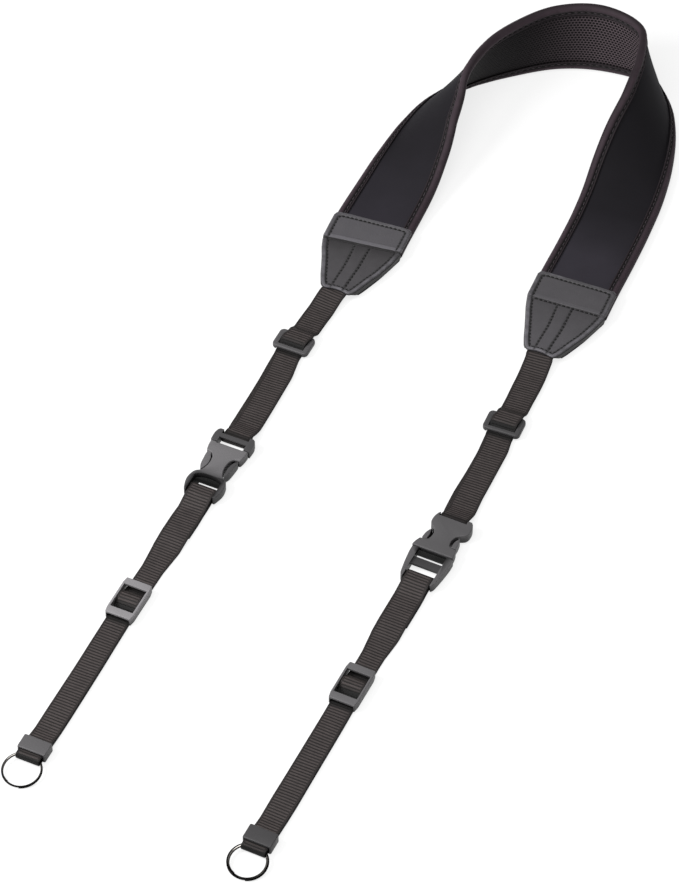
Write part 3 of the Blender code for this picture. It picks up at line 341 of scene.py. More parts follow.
# ---------------- routes
class PadRoute:
    """Places a point of the pad by distance along, distance from the outer edge and height."""

    def __init__(self):
        self.rows = spline(ARCH_ROUTE)
        self.along = travelled(self.rows[:, :2])
        self.known = {}

    def plan(self, s):
        """Place on the table; past either end the route runs straight on."""
        held = min(max(s, 0), self.along[-1])
        a, b = self.rows[:2] if s < held else self.rows[-2:]
        step = hypot(b[0] - a[0], b[1] - a[1])
        return [float(np.interp(held, self.along, self.rows[:, i])) + (b[i] - a[i]) / step * (s - held)
                for i in range(2)]

    def frame(self, s):
        """Place of the outer edge, direction across the pad and direction out of its outer face."""
        key = round(s, 3)
        if key not in self.known:
            ahead, behind = self.plan(s + 4), self.plan(s - 4)
            tangent = Vector((ahead[0] - behind[0], ahead[1] - behind[1], 0)).normalized()
            inward = Vector((tangent.y, -tangent.x, 0))
            angle = radians(max(0, float(np.interp(s, self.along, self.rows[:, 2]))))
            rise, run = sin(angle), cos(angle)
            lowest = min(w * rise + m * run for w, m in TAPE_CORNERS)
            self.known[key] = (Vector((*self.plan(s), -lowest)), inward * run + Vector((0, 0, rise)),
                               Vector((0, 0, run)) - inward * rise)
        return self.known[key]

    def place(self, s, from_edge, height):
        base, across, face = self.frame(s)
        return base + across * from_edge + face * height

    def at_y(self, y, last):
        """Distance along where the route first, or last, passes a y."""
        order = range(len(self.rows) - 1)
        for i in (reversed(order) if last else order):
            a, b = self.rows[i][1], self.rows[i + 1][1]
            if (a - y) * (b - y) <= 0 and a != b:
                return self.along[i] + (self.along[i + 1] - self.along[i]) * (y - a) / (b - a)


PAD = PadRoute()
STARTS = {"left": PAD.at_y(PATCH_TOPS[0], False), "right": PAD.at_y(PATCH_TOPS[1], True)}
ARCH_MIDDLE = (STARTS["left"] + STARTS["right"]) / 2


class Leg:
    """A leg's centre line on the table."""

    def __init__(self, row):
        self.row = row
        self.route = spline(row["route"])

    def x(self, y):
        return float(np.interp(y, self.route[:, 0], self.route[:, 1]))

    def angle(self, y):
        return -atan2(self.x(y + 5) - self.x(y - 5), 10)

    def place(self, y):
        return self.x(y), y, self.angle(y)

    def beside(self, y, z):
        """How far a webbing layer lies beside the route."""
        return read(self.row["over" if z > LAYER_SPLIT else "under"], y)

    def half_width(self, y):
        return read(self.row["half"], y)


LEG = {side: Leg(row) for side, row in LEGS.items()}


def plan_shift():
    """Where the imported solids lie, against the plan that these sizes use."""
    low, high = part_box("left_keeper")
    middle = sum(LEGS["left"]["keeper"]) / 2
    centre = (low + high) / 2
    return Vector((centre.x / MM - LEG["left"].x(middle), centre.y / MM - middle, 0))


SHIFT = plan_shift()


# ---------------- meshes
def placed(name, data):
    """New object in the scene."""
    made = bpy.data.objects.new(name, data)
    bpy.context.scene.collection.objects.link(made)
    return made


def paint(piece, **layers):
    """Keeps a number, or a place in the cloth, for each point: the piece's material reads it."""
    for name, values in layers.items():
        values = np.array(values, dtype=np.float32)
        kind, field = ("FLOAT_VECTOR", "vector") if values.ndim > 1 else ("FLOAT", "value")
        piece.data.attributes.new(name, kind, "POINT").data.foreach_set(field, values.ravel())


def skin(rings):
    """Body lofted through rings of equal length, with both ends filled."""
    count = len(rings[0])
    last = (len(rings) - 1) * count
    faces = [(a + i, a + (i + 1) % count, a + count + (i + 1) % count, a + count + i)
             for a in range(0, last, count) for i in range(count)]
    faces += [tuple(range(count)), tuple(reversed(range(last, last + count)))]
    return [point for ring in rings for point in ring], faces


def mesh_object(name, points, faces, smooth_angle=60, **layers):
    """Mesh in the strap's place, painted with its layers."""
    mesh = bpy.data.meshes.new(name)
    mesh.from_pydata([(Vector(p) + SHIFT) * MM for p in points], [], faces)
    mesh.validate()
    outward = bmesh.new()
    outward.from_mesh(mesh)
    bmesh.ops.recalc_face_normals(outward, faces=outward.faces)
    outward.to_mesh(mesh)
    outward.free()
    mesh.shade_smooth()
    mesh.set_sharp_from_angle(angle=radians(smooth_angle))
    piece = placed(name, mesh)
    paint(piece, **layers)
    return piece


def dress(piece, material, slot, *nodes):
    """Gives a piece its material and puts it in the place of its solids."""
    piece.data.materials.append(material)
    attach(piece, "root")
    if nodes:
        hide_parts(*nodes)


# ---------------- materials
def colour(code):
    """Linear colour of an sRGB hex code."""
    parts = [int(code[i:i + 2], 16) / 255 for i in (1, 3, 5)]
    return tuple(c / 12.92 if c <= 0.04045 else ((c + 0.055) / 1.055) ** 2.4 for c in parts) + (1,)


def set_inputs(tree, node, inputs):
    """Each input is a value, a hex colour, or a socket to link from."""
    for key, value in inputs.items():
        if isinstance(value, bpy.types.NodeSocket):
            tree.links.new(value, node.inputs[key])
        else:
            node.inputs[key].default_value = colour(value) if isinstance(value, str) else value


def add(tree, kind, inputs, output=0, **settings):
    """Adds a node with its settings and inputs, and gives one of its outputs."""
    made = tree.nodes.new("ShaderNode" + kind)
    for key, value in settings.items():
        setattr(made, key, value)
    set_inputs(tree, made, inputs)
    return made.outputs[output]


def material(name, base, look):
    """Principled material: look adds its nodes and gives the shader's inputs."""
    made = bpy.data.materials.new(name)
    made.use_nodes = True
    made.diffuse_color = colour(base)
    tree = made.node_tree
    shader = tree.nodes["Principled BSDF"]
    set_inputs(tree, shader, {"Base Color": base})
    set_inputs(tree, shader, look(tree))
    return made


def cloth_place(tree, along, across):
    """A point's place in its cloth, divided by a pitch in millimetres along it and across it."""
    place = add(tree, "Attribute", {}, "Vector", attribute_name="weave")
    return add(tree, "Mapping", {"Vector": place, "Scale": (1 / along, 1 / across, 0)})


def ridges(tree, pitch, axis):
    """Even ridges of yarn with a pitch in millimetres."""
    place = cloth_place(tree, pitch, pitch)
    return add(tree, "TexWave", {"Vector": place, "Scale": RIDGE_SCALE, "Distortion": 0}, "Fac",
               wave_type="BANDS", bands_direction=axis, wave_profile="SIN")


def cloud(tree, size, detail=3):
    """Cloudy variation with a size in millimetres, in the object's own space."""
    place = add(tree, "TexCoord", {}, "Object")
    return add(tree, "TexNoise", {"Vector": place, "Scale": 1 / (size * MM), "Detail": detail})


def painted(tree, layer, low, high):
    """Colour between two, by a number painted on the points."""
    share = add(tree, "Attribute", {}, "Fac", attribute_name=layer)
    return add(tree, "Mix", {0: share, 6: low, 7: high}, 2, data_type="RGBA")


def clouded(tree, size, low, high):
    """Cloudy colour between two."""
    return add(tree, "Mix", {0: cloud(tree, size), 6: low, 7: high}, 2, data_type="RGBA")


def jersey(tree):
    """Polyester jersey laminated on chloroprene foam: very dark blue grey, matt, with a faint bloom; painted
    shade darkens it inside the arch.
    """
    knit = ridges(tree, 0.55, "Y")
    return {
        # painted shade mixes the jersey towards near black
        "Base Color": painted(tree, "painted_shade", "#060506", clouded(tree, 22, "#252328", "#312e35")),
        "Roughness": 0.78, "Specular IOR Level": 0.15,
        "Sheen Weight": 0.05, "Sheen Roughness": 0.5, "Sheen Tint": "#8a8794",
        "Normal": add(tree, "Bump", {"Height": knit, "Distance": 0.02 * MM, "Strength": 0.5}),
    }


def spacer_mesh(tree):
    """Warp-knitted spacer mesh: grey brown yarn round dark staggered cells, darkened by painted shade towards
    the arch's left end and under its edges.
    """
    place = cloth_place(tree, *MESH_CELL)
    y = add(tree, "SeparateXYZ", {0: place}, "Y")
    pair = add(tree, "Math", {0: y, 1: 2}, operation="FLOORED_MODULO")
    odd = add(tree, "Math", {0: pair, 1: 1}, operation="GREATER_THAN")
    moved = add(tree, "VectorMath", {0: odd, 1: (0.5, 0, 0), 2: place}, operation="MULTIPLY_ADD")
    cell = add(tree, "VectorMath", {0: moved}, operation="FRACTION")
    reach = add(tree, "VectorMath", {0: cell, 1: (0.5, 0.5, 0)}, "Value", operation="DISTANCE")
    yarn = add(tree, "ValToRGB", {"Fac": reach})
    for stop, radius, code in zip(yarn.node.color_ramp.elements, (0.33, 0.46), ("#040404", "#5c5156")):
        stop.position = radius
        stop.color = colour(code)
    return {
        # painted shade mixes the mesh towards near black
        "Base Color": painted(tree, "painted_shade", "#090809", yarn), "Roughness": 0.75, "Specular IOR Level": 0.12,
        "Normal": add(tree, "Bump", {"Height": reach, "Distance": 0.5 * MM, "Strength": 0.9}),
    }


def binding_tape(tree):
    """Woven polyester edge tape: plum black on its rounded rim, with painted shade making it near black in
    the sewn groove, at its hem and on its inside.
    """
    ribs = ridges(tree, 0.8, "X")
    return {
        # painted shade mixes the tape towards near black in its groove
        "Base Color": painted(tree, "groove", clouded(tree, 6, "#281f24", "#3d3138"), "#0a0809"),
        "Roughness": 0.7, "Specular IOR Level": 0.25, "Sheen Weight": 0.12, "Sheen Tint": "#9a8d95",
        "Normal": add(tree, "Bump", {"Height": ribs, "Distance": 0.05 * MM, "Strength": 0.5}),
    }


def patch_leather(tree):
    """Pigmented split leather, grained: satin grey, paler where it is rubbed and where a highlight is
    painted, with painted shade dark in its seams, under its step and at its edges.
    """
    place = add(tree, "TexCoord", {}, "Object")
    grain = add(tree, "TexVoronoi", {"Vector": place, "Scale": 1 / (LEATHER_GRAIN * MM)}, feature="F1")
    # rubbed wear and painted highlight make the leather paler
    rubbed_and_lit = painted(tree, "worn", clouded(tree, 6, "#2f2d2e", "#3d3b3c"), "#67656a")
    return {
        # painted shade darkens the leather in its seams, under its step and at its edges
        "Base Color": painted(tree, "seam", rubbed_and_lit, "#0d0c0d"),
        "Roughness": 0.5, "Specular IOR Level": 0.35,
        "Normal": add(tree, "Bump", {"Height": grain, "Distance": 0.1 * MM, "Strength": 0.45}),
    }


def webbing(tree):
    """Woven polypropylene webbing: brown black yarn; painted light and shade make it paler on the ribs and
    near black between them, under the bars and in its fold.
    """
    yarn = ridges(tree, 0.85, "Y")
    twist = ridges(tree, 0.7, "X")
    lumps = add(tree, "Math", {0: yarn, 1: twist}, operation="MULTIPLY")
    strands = add(tree, "Math", {0: lumps, 1: 0.35, 2: 0.72}, operation="MULTIPLY_ADD")
    # the crest layer carries painted light and shade: pale rib tops, dark between the ribs, under the bars
    # and in the fold
    crest = add(tree, "Attribute", {}, "Fac", attribute_name="crest")
    sharp = add(tree, "Math", {0: crest, 1: 2.4}, operation="POWER")
    shade = add(tree, "Math", {0: sharp, 1: strands}, operation="MULTIPLY")
    base = add(tree, "Mix", {0: shade, 6: "#070606", 7: "#4b4443"}, 2, data_type="RGBA")
    vary = add(tree, "Math", {0: cloud(tree, 5), 1: 0.6, 2: 0.7}, operation="MULTIPLY_ADD")
    height = add(tree, "Math", {0: yarn, 1: twist}, operation="ADD")
    return {
        "Base Color": add(tree, "HueSaturation", {"Color": base, "Value": vary}),
        "Roughness": 0.66, "Specular IOR Level": 0.25,
        "Normal": add(tree, "Bump", {"Height": height, "Distance": 0.07 * MM, "Strength": 0.7}),
    }


def moulded_acetal(tree):
    """Injection-moulded acetal, spark-eroded: satin grey, with painted light making it paler on top and
    painted shade making it dark in its recesses.
    """
    fine = cloud(tree, 0.35, 2)
    return {
        # painted light on the top faces and painted shade in the recesses, by the raised layer
        "Base Color": painted(tree, "raised", "#080808", "#828082"), "Specular IOR Level": 0.22,
        "Roughness": add(tree, "MapRange", {"Value": cloud(tree, 6), "To Min": 0.36, "To Max": 0.5}),
        "Normal": add(tree, "Bump", {"Height": fine, "Distance": 0.02 * MM, "Strength": 0.5}),
    }


def nickel_wire(tree):
    """Nickel-plated spring steel wire: a painted highlight bright along its crown, painted shade dark on its
    flanks.
    """
    return {
        # painted highlight on the crown, painted shade on the flanks
        "Base Color": painted(tree, "polish", "#0b0a0a", "#a29e99"), "Metallic": 1,
        "Roughness": add(tree, "MapRange", {"Value": cloud(tree, 1.2, 4), "To Min": 0.08, "To Max": 0.22}),
    }


def sewing_thread(tree):
    """Bonded polyester sewing thread with a little shine on its twist."""
    return {"Roughness": 0.6, "Specular IOR Level": 0.3, "Sheen Weight": 0.1}


JERSEY = material("polyester_jersey_on_foam", "#242228", jersey)
MESH = material("warp_knit_spacer_mesh", "#3b3538", spacer_mesh)
TAPE = material("woven_edge_tape", "#1f1a1d", binding_tape)
LEATHER = material("embossed_split_leather", "#3b393a", patch_leather)
WEBBING = material("woven_polypropylene_webbing", "#3a3532", webbing)
ACETAL = material("moulded_acetal", "#4a494a", moulded_acetal)
NICKEL = material("nickel_plated_wire", "#dedbd7", nickel_wire)
THREAD = material("black_bonded_thread", "#080708", sewing_thread)
TAPE_THREAD = material("plum_bonded_thread", "#2f272c", sewing_thread)


# ---------------- stitches
def stitch(start, end, up, width):
    """Rings of one stitch: a thread that arches from hole to hole."""
    along = end - start
    side = along.cross(up).normalized() * width / 2
    turns = [pi * 2 * k / 6 for k in range(6)]
    rings = []
    for t, rise, swell in STITCH_ARCH:
        centre = start + along * t + up * (STITCH_HEIGHT * (rise - 0.4))
        rings.append([centre + side * cos(a) * swell + up * (sin(a) * STITCH_HEIGHT / 2 * swell)
                      for a in turns])
    return rings


def stitch_line(path, pitch, length, width):
    """Stitches along a list of (point, up) places, evenly spaced by the distance along it."""
    points, ups = zip(*path)
    distance = travelled(points)

    def at(s):
        i = min(max(int(np.searchsorted(distance, s, side="right")) - 1, 0), len(path) - 2)
        t = (s - distance[i]) / max(1e-6, distance[i + 1] - distance[i])
        return points[i].lerp(points[i + 1], t), ups[i].lerp(ups[i + 1], t).normalized()

    stitches = []
    for s in steps_between(pitch / 2, distance[-1] - pitch / 2, pitch):
        start, up = at(s - length / 2)
        stitches.append(stitch(start, at(s + length / 2)[0], up, width))
    return stitches


def sewn(name, lines, slot, thread):
    """One piece of all the stitches of some seams."""
    points, faces = [], []
    for line in lines:
        for rings in line:
            body, sides = skin(rings)
            faces += [tuple(i + len(points) for i in side) for side in sides]
            points += body
    dress(mesh_object(name, points, faces, 180), thread, slot)


# ---------------- neck pad
def crown(u):
    return max(0, 1 - (u / CROWN_HALF) ** 2)


def side_of(s):
    return "left" if s < STARTS["left"] else "right"


def down_from_patch(s):
    """Distance down the nearer patch; negative in the open arch."""
    return max(STARTS["left"] - s, s - STARTS["right"])


def pad_half(down):
    if down <= FAN_START - GAP:
        return CORE_HALF
    return min(read(PATCH_OUTLINE, down) + min(0, read(FAN_SWELL, down)), FAN_HALF) - GAP


def tip_lean(side, down):
    """The pad's ends lean sideways with their patches."""
    return TIP_LEAN[side] * smooth_step((down - 40) / 26)


def tail_middle(s):
    """Where the webbing's tail lies across the pad's end."""
    side = side_of(s)
    middle = PAD.place(s, PAD_WIDTH / 2, 0)
    return (LEG[side].x(middle.y) - middle.x) * (1 if side == "left" else -1)


def pad_bottom(s, down, u):
    in_arch = read([(FAN_START - 0.4, 1), (FAN_LEVEL, 0)], down)
    return FAN_BOTTOM + in_arch * (CORE_EDGE_BOTTOM - CORE_CROWN * crown(u) - FAN_BOTTOM)


def pad_top(s, down, u):
    """Outer face: crowned, dented and puckered at its seams, and hollowed under the webbing's tail."""
    u += tip_lean(side_of(s), down)
    top = CORE_EDGE_TOP + CORE_CROWN * crown(u) * read([(-12, 1), (12, 0)], down)
    if down > FAN_LEVEL + 1.5 and abs(u - tail_middle(s)) < WEB_END_HALF + GAP:
        return WEB_IN_PATCH - HALF_THICK - WEB_WALL / 2 - GAP
    open_face = smooth_step((-1 - down) / 6)
    edge = CORE_HALF - 3.5 - abs(u)
    if open_face > 0 and edge > 0:
        pucker = 0.16 * exp(-edge / 2.4) * (0.5 - 0.5 * cos(2 * pi * s / TAPE_STITCH))
        dents = rough(s / 26, u / 19, 3.1) * 0.28 + rough(s / 8, u / 8, 7.7) * 0.06
        top += open_face * (dents - pucker - 0.25 * exp(-edge / 1.2))
    return top


def loft_pad(rows, painted_shade):
    """Sections along the pad: each row has parts of its half width, their height and an offset to it."""
    rings, weave, painted_shades = [], [], []
    for s in steps_between(STARTS["left"] - FAN_END, STARTS["right"] + FAN_END, PAD_STEP):
        down = down_from_patch(s)
        half = pad_half(down)
        lean = tip_lean(side_of(s), down)
        ring = []
        for parts, height, offset in rows:
            for u in [part * half for part in parts]:
                ring.append(PAD.place(s, PAD_WIDTH / 2 + u + lean, height(s, down, u) + offset))
                weave.append((s, u, 0))
                # painted shade for each point
                painted_shades.append(painted_shade(s, down, u))
        rings.append(ring)
    return rings, {"weave": weave, "painted_shade": painted_shades}


def fill_pad():
    """The foam pad, with sewn edges that pull its face in."""
    top_parts = [sin(pi / 2 * i / PAD_PARTS) for i in range(-PAD_PARTS, PAD_PARTS + 1)]
    low_parts = [i / 10 for i in range(10, -11, -1)]
    # painted shade: the jersey darkens inside the arch
    rings, layers = loft_pad(
        [(top_parts, pad_top, 0), (low_parts, pad_bottom, 0)],
        lambda s, down, u: read(JERSEY_PAINTED_SHADE["right" if s > ARCH_MIDDLE else "left"], down))
    pad = mesh_object("foam_pad", *skin(rings), **layers)
    dress(pad, JERSEY, "jersey", "neck_pad")


def lining_painted_shade(s, down, u):
    """Painted shade: darker towards the left end of the arch, and a painted shadow under the overhang of its
    edges.
    """
    shadow = 1 - (0.85 if u > 0 else 0.4) * smooth_step((abs(u) - 17.3) / 1.8)
    return (0.06 + 0.76 * smooth_step((s - ARCH_MIDDLE + 66) / 80)) * shadow


def sew_lining():
    """The spacer mesh on the side that lies on the neck."""
    parts = [i / PAD_PARTS for i in range(-PAD_PARTS, PAD_PARTS + 1)]
    rings, layers = loft_pad([(parts, pad_bottom, -GAP), (parts[::-1], pad_bottom, -GAP - LINING_WALL)],
                             lining_painted_shade)
    lining = mesh_object("spacer_lining", *skin(rings), **layers)
    dress(lining, MESH, "mesh", "mesh_lining")


def tape_height(s, from_edge, height):
    """Pulls the tape down where a stitch ends, and lets it stand up between the stitches."""
    pulled = 0.5 - 0.5 * cos(2 * pi * s / TAPE_STITCH)
    swell = rough(s / 7, from_edge / 4, 1.3) * 0.14
    dip = 0.12 * bell(from_edge - TAPE_STITCH_PLACE, 0.9) * pulled
    return height - dip + bell(from_edge - 3.4, 1.8) * (0.1 * (1 - pulled) + swell)


def bind_edge(name, node, upper):
    """An edge tape: its section runs round the pad's edge from hem to hem, and back on its inside."""
    rings, weave, dark = [], [], []
    outer = TAPE_PROFILE + [(w, -h, groove) for w, h, groove in TAPE_PROFILE[-2::-1]]
    inner = [(w, -h) for w, h in TAPE_INSIDE[:0:-1]] + TAPE_INSIDE
    for s in steps_between(STARTS["left"] - TAPE_END, STARTS["right"] + TAPE_END, 1.1):
        calm = smooth_step((-1.5 - down_from_patch(s)) / 3)
        flat = PAD.frame(s)[2].z > 0.95
        section = []
        for w, h, _ in outer:
            level = abs(h)
            if level > 1.9:
                level += (tape_height(s, w, level) - level) * calm
            level = copysign(level, h)
            if flat:
                level = max(-HALF_THICK, level)
            if calm < 0.5:
                level = min(HALF_THICK + 0.1, level)
            section.append((w, level))
        rings.append([PAD.place(s, PAD_WIDTH - w if upper else w, level) for w, level in section + inner])
        weave += [(s, 0, 0)] * len(rings[-1])
        # painted shade: the section's third column outside, full shade all over the tape's inside
        dark += [groove for _, _, groove in outer] + [1] * len(inner)
    dress(mesh_object(name, *skin(rings), weave=weave, groove=dark), TAPE, "tape", node)


def sew_bindings():
    """Stitch lines on both faces of both edge tapes."""
    lines = []
    for from_edge in (TAPE_STITCH_PLACE, PAD_WIDTH - TAPE_STITCH_PLACE):
        for face in (1, -1):
            path = [(PAD.place(s, from_edge, face * (HALF_THICK - 0.42)), PAD.frame(s)[2] * face)
                    for s in steps_between(STARTS["left"] + 1, STARTS["right"] - 1, 2)]
            lines.append(stitch_line(path, TAPE_STITCH, 2.9, 0.75))
    sewn("binding_stitches", lines, "tape", TAPE_THREAD)


# ---------------- end patches
def patch_half(down):
    """The leather's edge: the fan's sides swell a little over the pad."""
    return read(PATCH_OUTLINE, down) + read(FAN_SWELL, down)


def patch_along(side, down, u):
    """Distance along the pad for a distance down the patch and across it."""
    lift = read(PATCH_END_DIP, down) * PATCH_DIP * max(0, 1 - (u / PATCH_OUTLINE[-1][1]) ** 2)
    sewn_on = read(PATCH_SHIFT[side], down) + PATCH_SKEW[side] * u * read([(24, 1), (45, 0)], down)
    drop = (TIP_DROP + TIP_SLANT[side] * u) * smooth_step((down - 50) / 16)
    return STARTS[side] + (-1 if side == "left" else 1) * (down - lift + sewn_on + drop)


def patch_place(side, down, u, height):
    """Place at a height over the underside: the label band lies on the bindings and the fan on the pad."""
    fan = smooth_step((down - STEP_DOWN[side] + 0.35) / 0.7)
    level = LABEL_HEIGHT + (FAN_HEIGHT - LABEL_HEIGHT) * fan
    return PAD.place(patch_along(side, down, u), PAD_WIDTH / 2 + u + tip_lean(side, down), level + height)


def edge_distance(down, u):
    """Distance to the leather's nearest edge, with round inner corners."""
    side = (patch_half(down) - abs(u)) * (FAN_SIDE_SLOPE if down > 24 else 1)
    top = down + SEAM_RISE
    if side < INNER_CORNER and top < INNER_CORNER:
        return max(0, INNER_CORNER - hypot(INNER_CORNER - side, INNER_CORNER - top))
    return max(0, min(side, top, PATCH_LENGTH + 0.5 - down))


def fan_seams(side, down):
    """Two seams that hold the webbing's tail, converging to the tip."""
    centre = read([(STEP_DOWN[side], 0.6), (66, 0)], down)
    spread = read([(STEP_DOWN[side], 4.8), (60, 4.2)], down)
    return centre - spread, centre + spread


def seam_dark(side, down, u):
    """Painted shade: how dark the leather is in its stitched grooves, under the band's step and at the fan's
    edge.
    """
    d = edge_distance(down, u)
    past = down - STEP_DOWN[side]
    mark = STEP_MARK[side]
    dark = max(0.7 * bell(d - SEAM_INSET, 0.75), (0.4 + 0.6 * mark) * bell(past - 0.35, 0.6))
    if past > 0:
        tail = max(bell(u - seam, 0.7) for seam in fan_seams(side, down))
        dark = max(dark, 0.7 * tail, 0.42 * mark * bell(past, 7), 1 - smooth_step(d / 0.8))
    return dark


def patch_wear_and_highlight(side, down, u):
    """How pale the leather is on its rim, its label band and its fan: partly rubbed, partly a painted
    highlight on the rim, just above the step and growing towards the fan's tip.
    """
    past = down - STEP_DOWN[side]
    rim = smooth_step((RIM_WIDTH + 0.2 - edge_distance(down, u)) / 1.2)
    rim *= 0.45 + 0.5 * rough(down / 4, u / 4, 9)
    paleness = max(0.9 * rim, BAND_WEAR_AND_LIGHT[side] * smooth_step((0.1 - past) / 0.6))
    # painted highlight: a pale band just above the step
    paleness += 0.35 * STEP_MARK[side] * smooth_step((past + 3.2) / 0.8) * smooth_step(-past / 0.4)
    if past > 0:
        # the fan is paler overall, with a painted highlight growing towards its tip
        paleness += FAN_PALENESS[side] + 0.12 * smooth_step((past - 4) / 30)
    return min(1, max(0, paleness))


def patch_relief(side, down, u):
    """Turned rim, seam groove inside it, raised band above the step and soft hollows."""
    d = edge_distance(down, u)
    past = down - STEP_DOWN[side]
    rim = RIM_HEIGHT * smooth_step(d / 0.9) * smooth_step((RIM_WIDTH + 0.4 - d) / 0.7)
    round_off = (0.8 if past > 0 else 0.45) * (1 - smooth_step(d))
    band = 0.28 * STEP_MARK[side] * smooth_step(past + 3.4) * smooth_step((0.1 - past) / 0.5)
    belly = 0.25 * bell(down - 11, 6) * (1 - smooth_step((abs(u) - 15) / 8))
    relief = rim - 0.26 * bell(d - SEAM_INSET, 0.45) - round_off + band - 0.3 * bell(past - 0.3, 0.5)
    relief += belly + 0.14 * rough(down / 9, u / 9, 5)
    if past > 0:
        near, far = fan_seams(side, down)
        relief += 0.22 * smooth_step(u - near) * smooth_step(far - u)
        relief -= 0.24 * max(bell(u - near, 0.5), bell(u - far, 0.5))
    return relief


def cut_patch(side):
    """The leather, with its fan's sides turned down over the pad."""
    step = STEP_DOWN[side]
    downs = [0, 0.25, 0.6]
    for first, last, spacing in ((1, 5, 0.4), (5.5, step - 2.6, 0.75), (step - 2.2, step + 2, 0.22),
                                 (step + 2.6, 61, 0.85), (61.5, PATCH_LENGTH, 0.35)):
        downs += steps_between(first, last, spacing)
    parts = [sin(pi / 2 * i / PATCH_PARTS) for i in range(-PATCH_PARTS, PATCH_PARTS + 1)]
    rings, worn, seam = [], [], []
    for down in downs:
        half = patch_half(down)
        row = [part * half for part in parts]
        lip = smooth_step((down - step) / 1.5) * smooth_step((PATCH_LENGTH - 0.8 - down) / 4.5) * SIDE_LIP
        top = [patch_place(side, down, u, PATCH_WALL + patch_relief(side, down, u)) for u in row]
        under = [patch_place(side, down, u, -lip if abs(u) == half else 0) for u in row[::-1]]
        rings.append(top + under)
        # painted highlight with wear on the top face; painted shade in the seams, full on the underside
        worn += [patch_wear_and_highlight(side, down, u) for u in row] + [0] * len(row)
        seam += [seam_dark(side, down, u) for u in row] + [1] * len(row)
    leather = mesh_object(side + "_leather_patch", *skin(rings), worn=worn, seam=seam)
    dress(leather, LEATHER, "leather", side + "_end_patch")


def seam_path(end):
    """Places of the edge seam from down the left side, over the top corners, to down the right side."""
    corner = INNER_CORNER - SEAM_RISE
    half = [(d, patch_half(d) - SEAM_INSET) for d in steps_between(end, corner, SEAM_STEP)]
    reach = INNER_CORNER - SEAM_INSET
    for k in range(1, 7):
        turn = pi / 2 * k / 6
        half.append((corner - reach * sin(turn),
                     patch_half(INNER_CORNER) - INNER_CORNER + reach * cos(turn)))
    last = half[-1][1] - SEAM_STEP
    top = [(SEAM_INSET - SEAM_RISE, u) for u in steps_between(-last, last, SEAM_STEP)]
    return [(d, -u) for d, u in half] + top + half[::-1]


def sew_patch(side):
    """Stitches round the patch, beside the webbing's tail and, on the right patch, across its flat seam."""
    step = STEP_DOWN[side]
    end = PATCH_LENGTH - SEAM_INSET
    paths = [seam_path(step - 0.8)]
    paths += [[(d, sign * (patch_half(d) - SEAM_INSET / FAN_SIDE_SLOPE))
               for d in steps_between(step + 1.2, end + 0.2, 1)] for sign in (-1, 1)]
    paths += [[(d, fan_seams(side, d)[i]) for d in steps_between(step + 1.2, end - 0.8, 1)] for i in (0, 1)]
    if side == "right":
        paths.append([(step + 0.2, u) for u in steps_between(-21.5, 21.5, 1)])
    reach = patch_half(end + 0.5) - SEAM_INSET - 0.6
    paths.append([(end + 0.5, u) for u in steps_between(-reach, reach, 1)])

    def surface(down, u):
        place = patch_place(side, down, u, PATCH_WALL + patch_relief(side, down, u) + STITCH_LIFT)
        return place, PAD.frame(patch_along(side, down, u))[2]

    lines = [stitch_line([surface(*place) for place in path], LEATHER_STITCH, LEATHER_STITCH_LENGTH, 1.7)
             for path in paths]
    sewn(side + "_patch_stitches", lines, "leather", THREAD)


# ---------------- webbing
def round_corners(path):
    """Side view line of (y, z) points, with an arc of its own radius at each corner of the path."""
    points = [path[0][:2]]
    for (y0, z0, _), (y1, z1, radius), (y2, z2, _) in zip(path, path[1:], path[2:]):
        corner = Vector((y1, z1))
        arrive = (corner - Vector((y0, z0))).normalized()
        leave = (Vector((y2, z2)) - corner).normalized()
        turn = abs(arrive.angle_signed(leave))
        if radius == 0 or turn < 0.01:
            points.append((y1, z1))
            continue
        side = Vector((-arrive.y, arrive.x))
        if side.dot(leave) < 0:
            side = -side
        centre = corner - arrive * radius * tan(turn / 2) + side * radius
        count = ceil(degrees(turn) / 9)
        for i in range(count + 1):
            swing = turn * i / count
            points.append(tuple(centre - side * radius * cos(swing) + arrive * radius * sin(swing)))
    return [*points, path[-1][:2]]


def loop_over_bar(centre, radius):
    """The webbing's end: up round a bar's edge and back over the bar."""
    turn_y = centre + radius
    top = WEB_LOW + 2 * radius
    return [(turn_y, WEB_LOW, radius), (turn_y, top, radius), (centre - 0.45, top, 0)]


def upper_path(row):
    """Side view of the webbing from the patch over the slider, round the pin and back: y, z, radius."""
    slider, pin, start = row["slider"], row["upper_pin"], row["patch_end"]
    over_loop = WEB_LOW + 2 * SLIDER_LOOP_RADIUS + WEB_WALL + GAP
    return [
        (start + TAIL_IN_PATCH, WEB_IN_PATCH, 0), (start - 2, WEB_IN_PATCH, 14), (start - 17, 2, 14),
        (slider + 14, 2, 6), (slider + 8.6, OVER_SLIDER_END, 3), (slider + 4.6, OVER_SLIDER_END, 3),
        (slider + 3.4, over_loop, 3), (slider - 0.4, over_loop, 1.5), (slider - 4.6, WEB_HIGH, 2),
        (pin + 16, WEB_HIGH, 10), (pin + 5, PIN_LOOP_TOP, 6), (pin - PIN_TURN, PIN_LOOP_TOP, PIN_TURN),
        (pin - PIN_TURN, PIN_LOOP_BOTTOM, PIN_TURN), (pin + 6, PIN_LOOP_BOTTOM, 6), (pin + 12, WEB_LOW, 8),
    ] + loop_over_bar(slider + SLIDER_LOOP, SLIDER_LOOP_RADIUS)


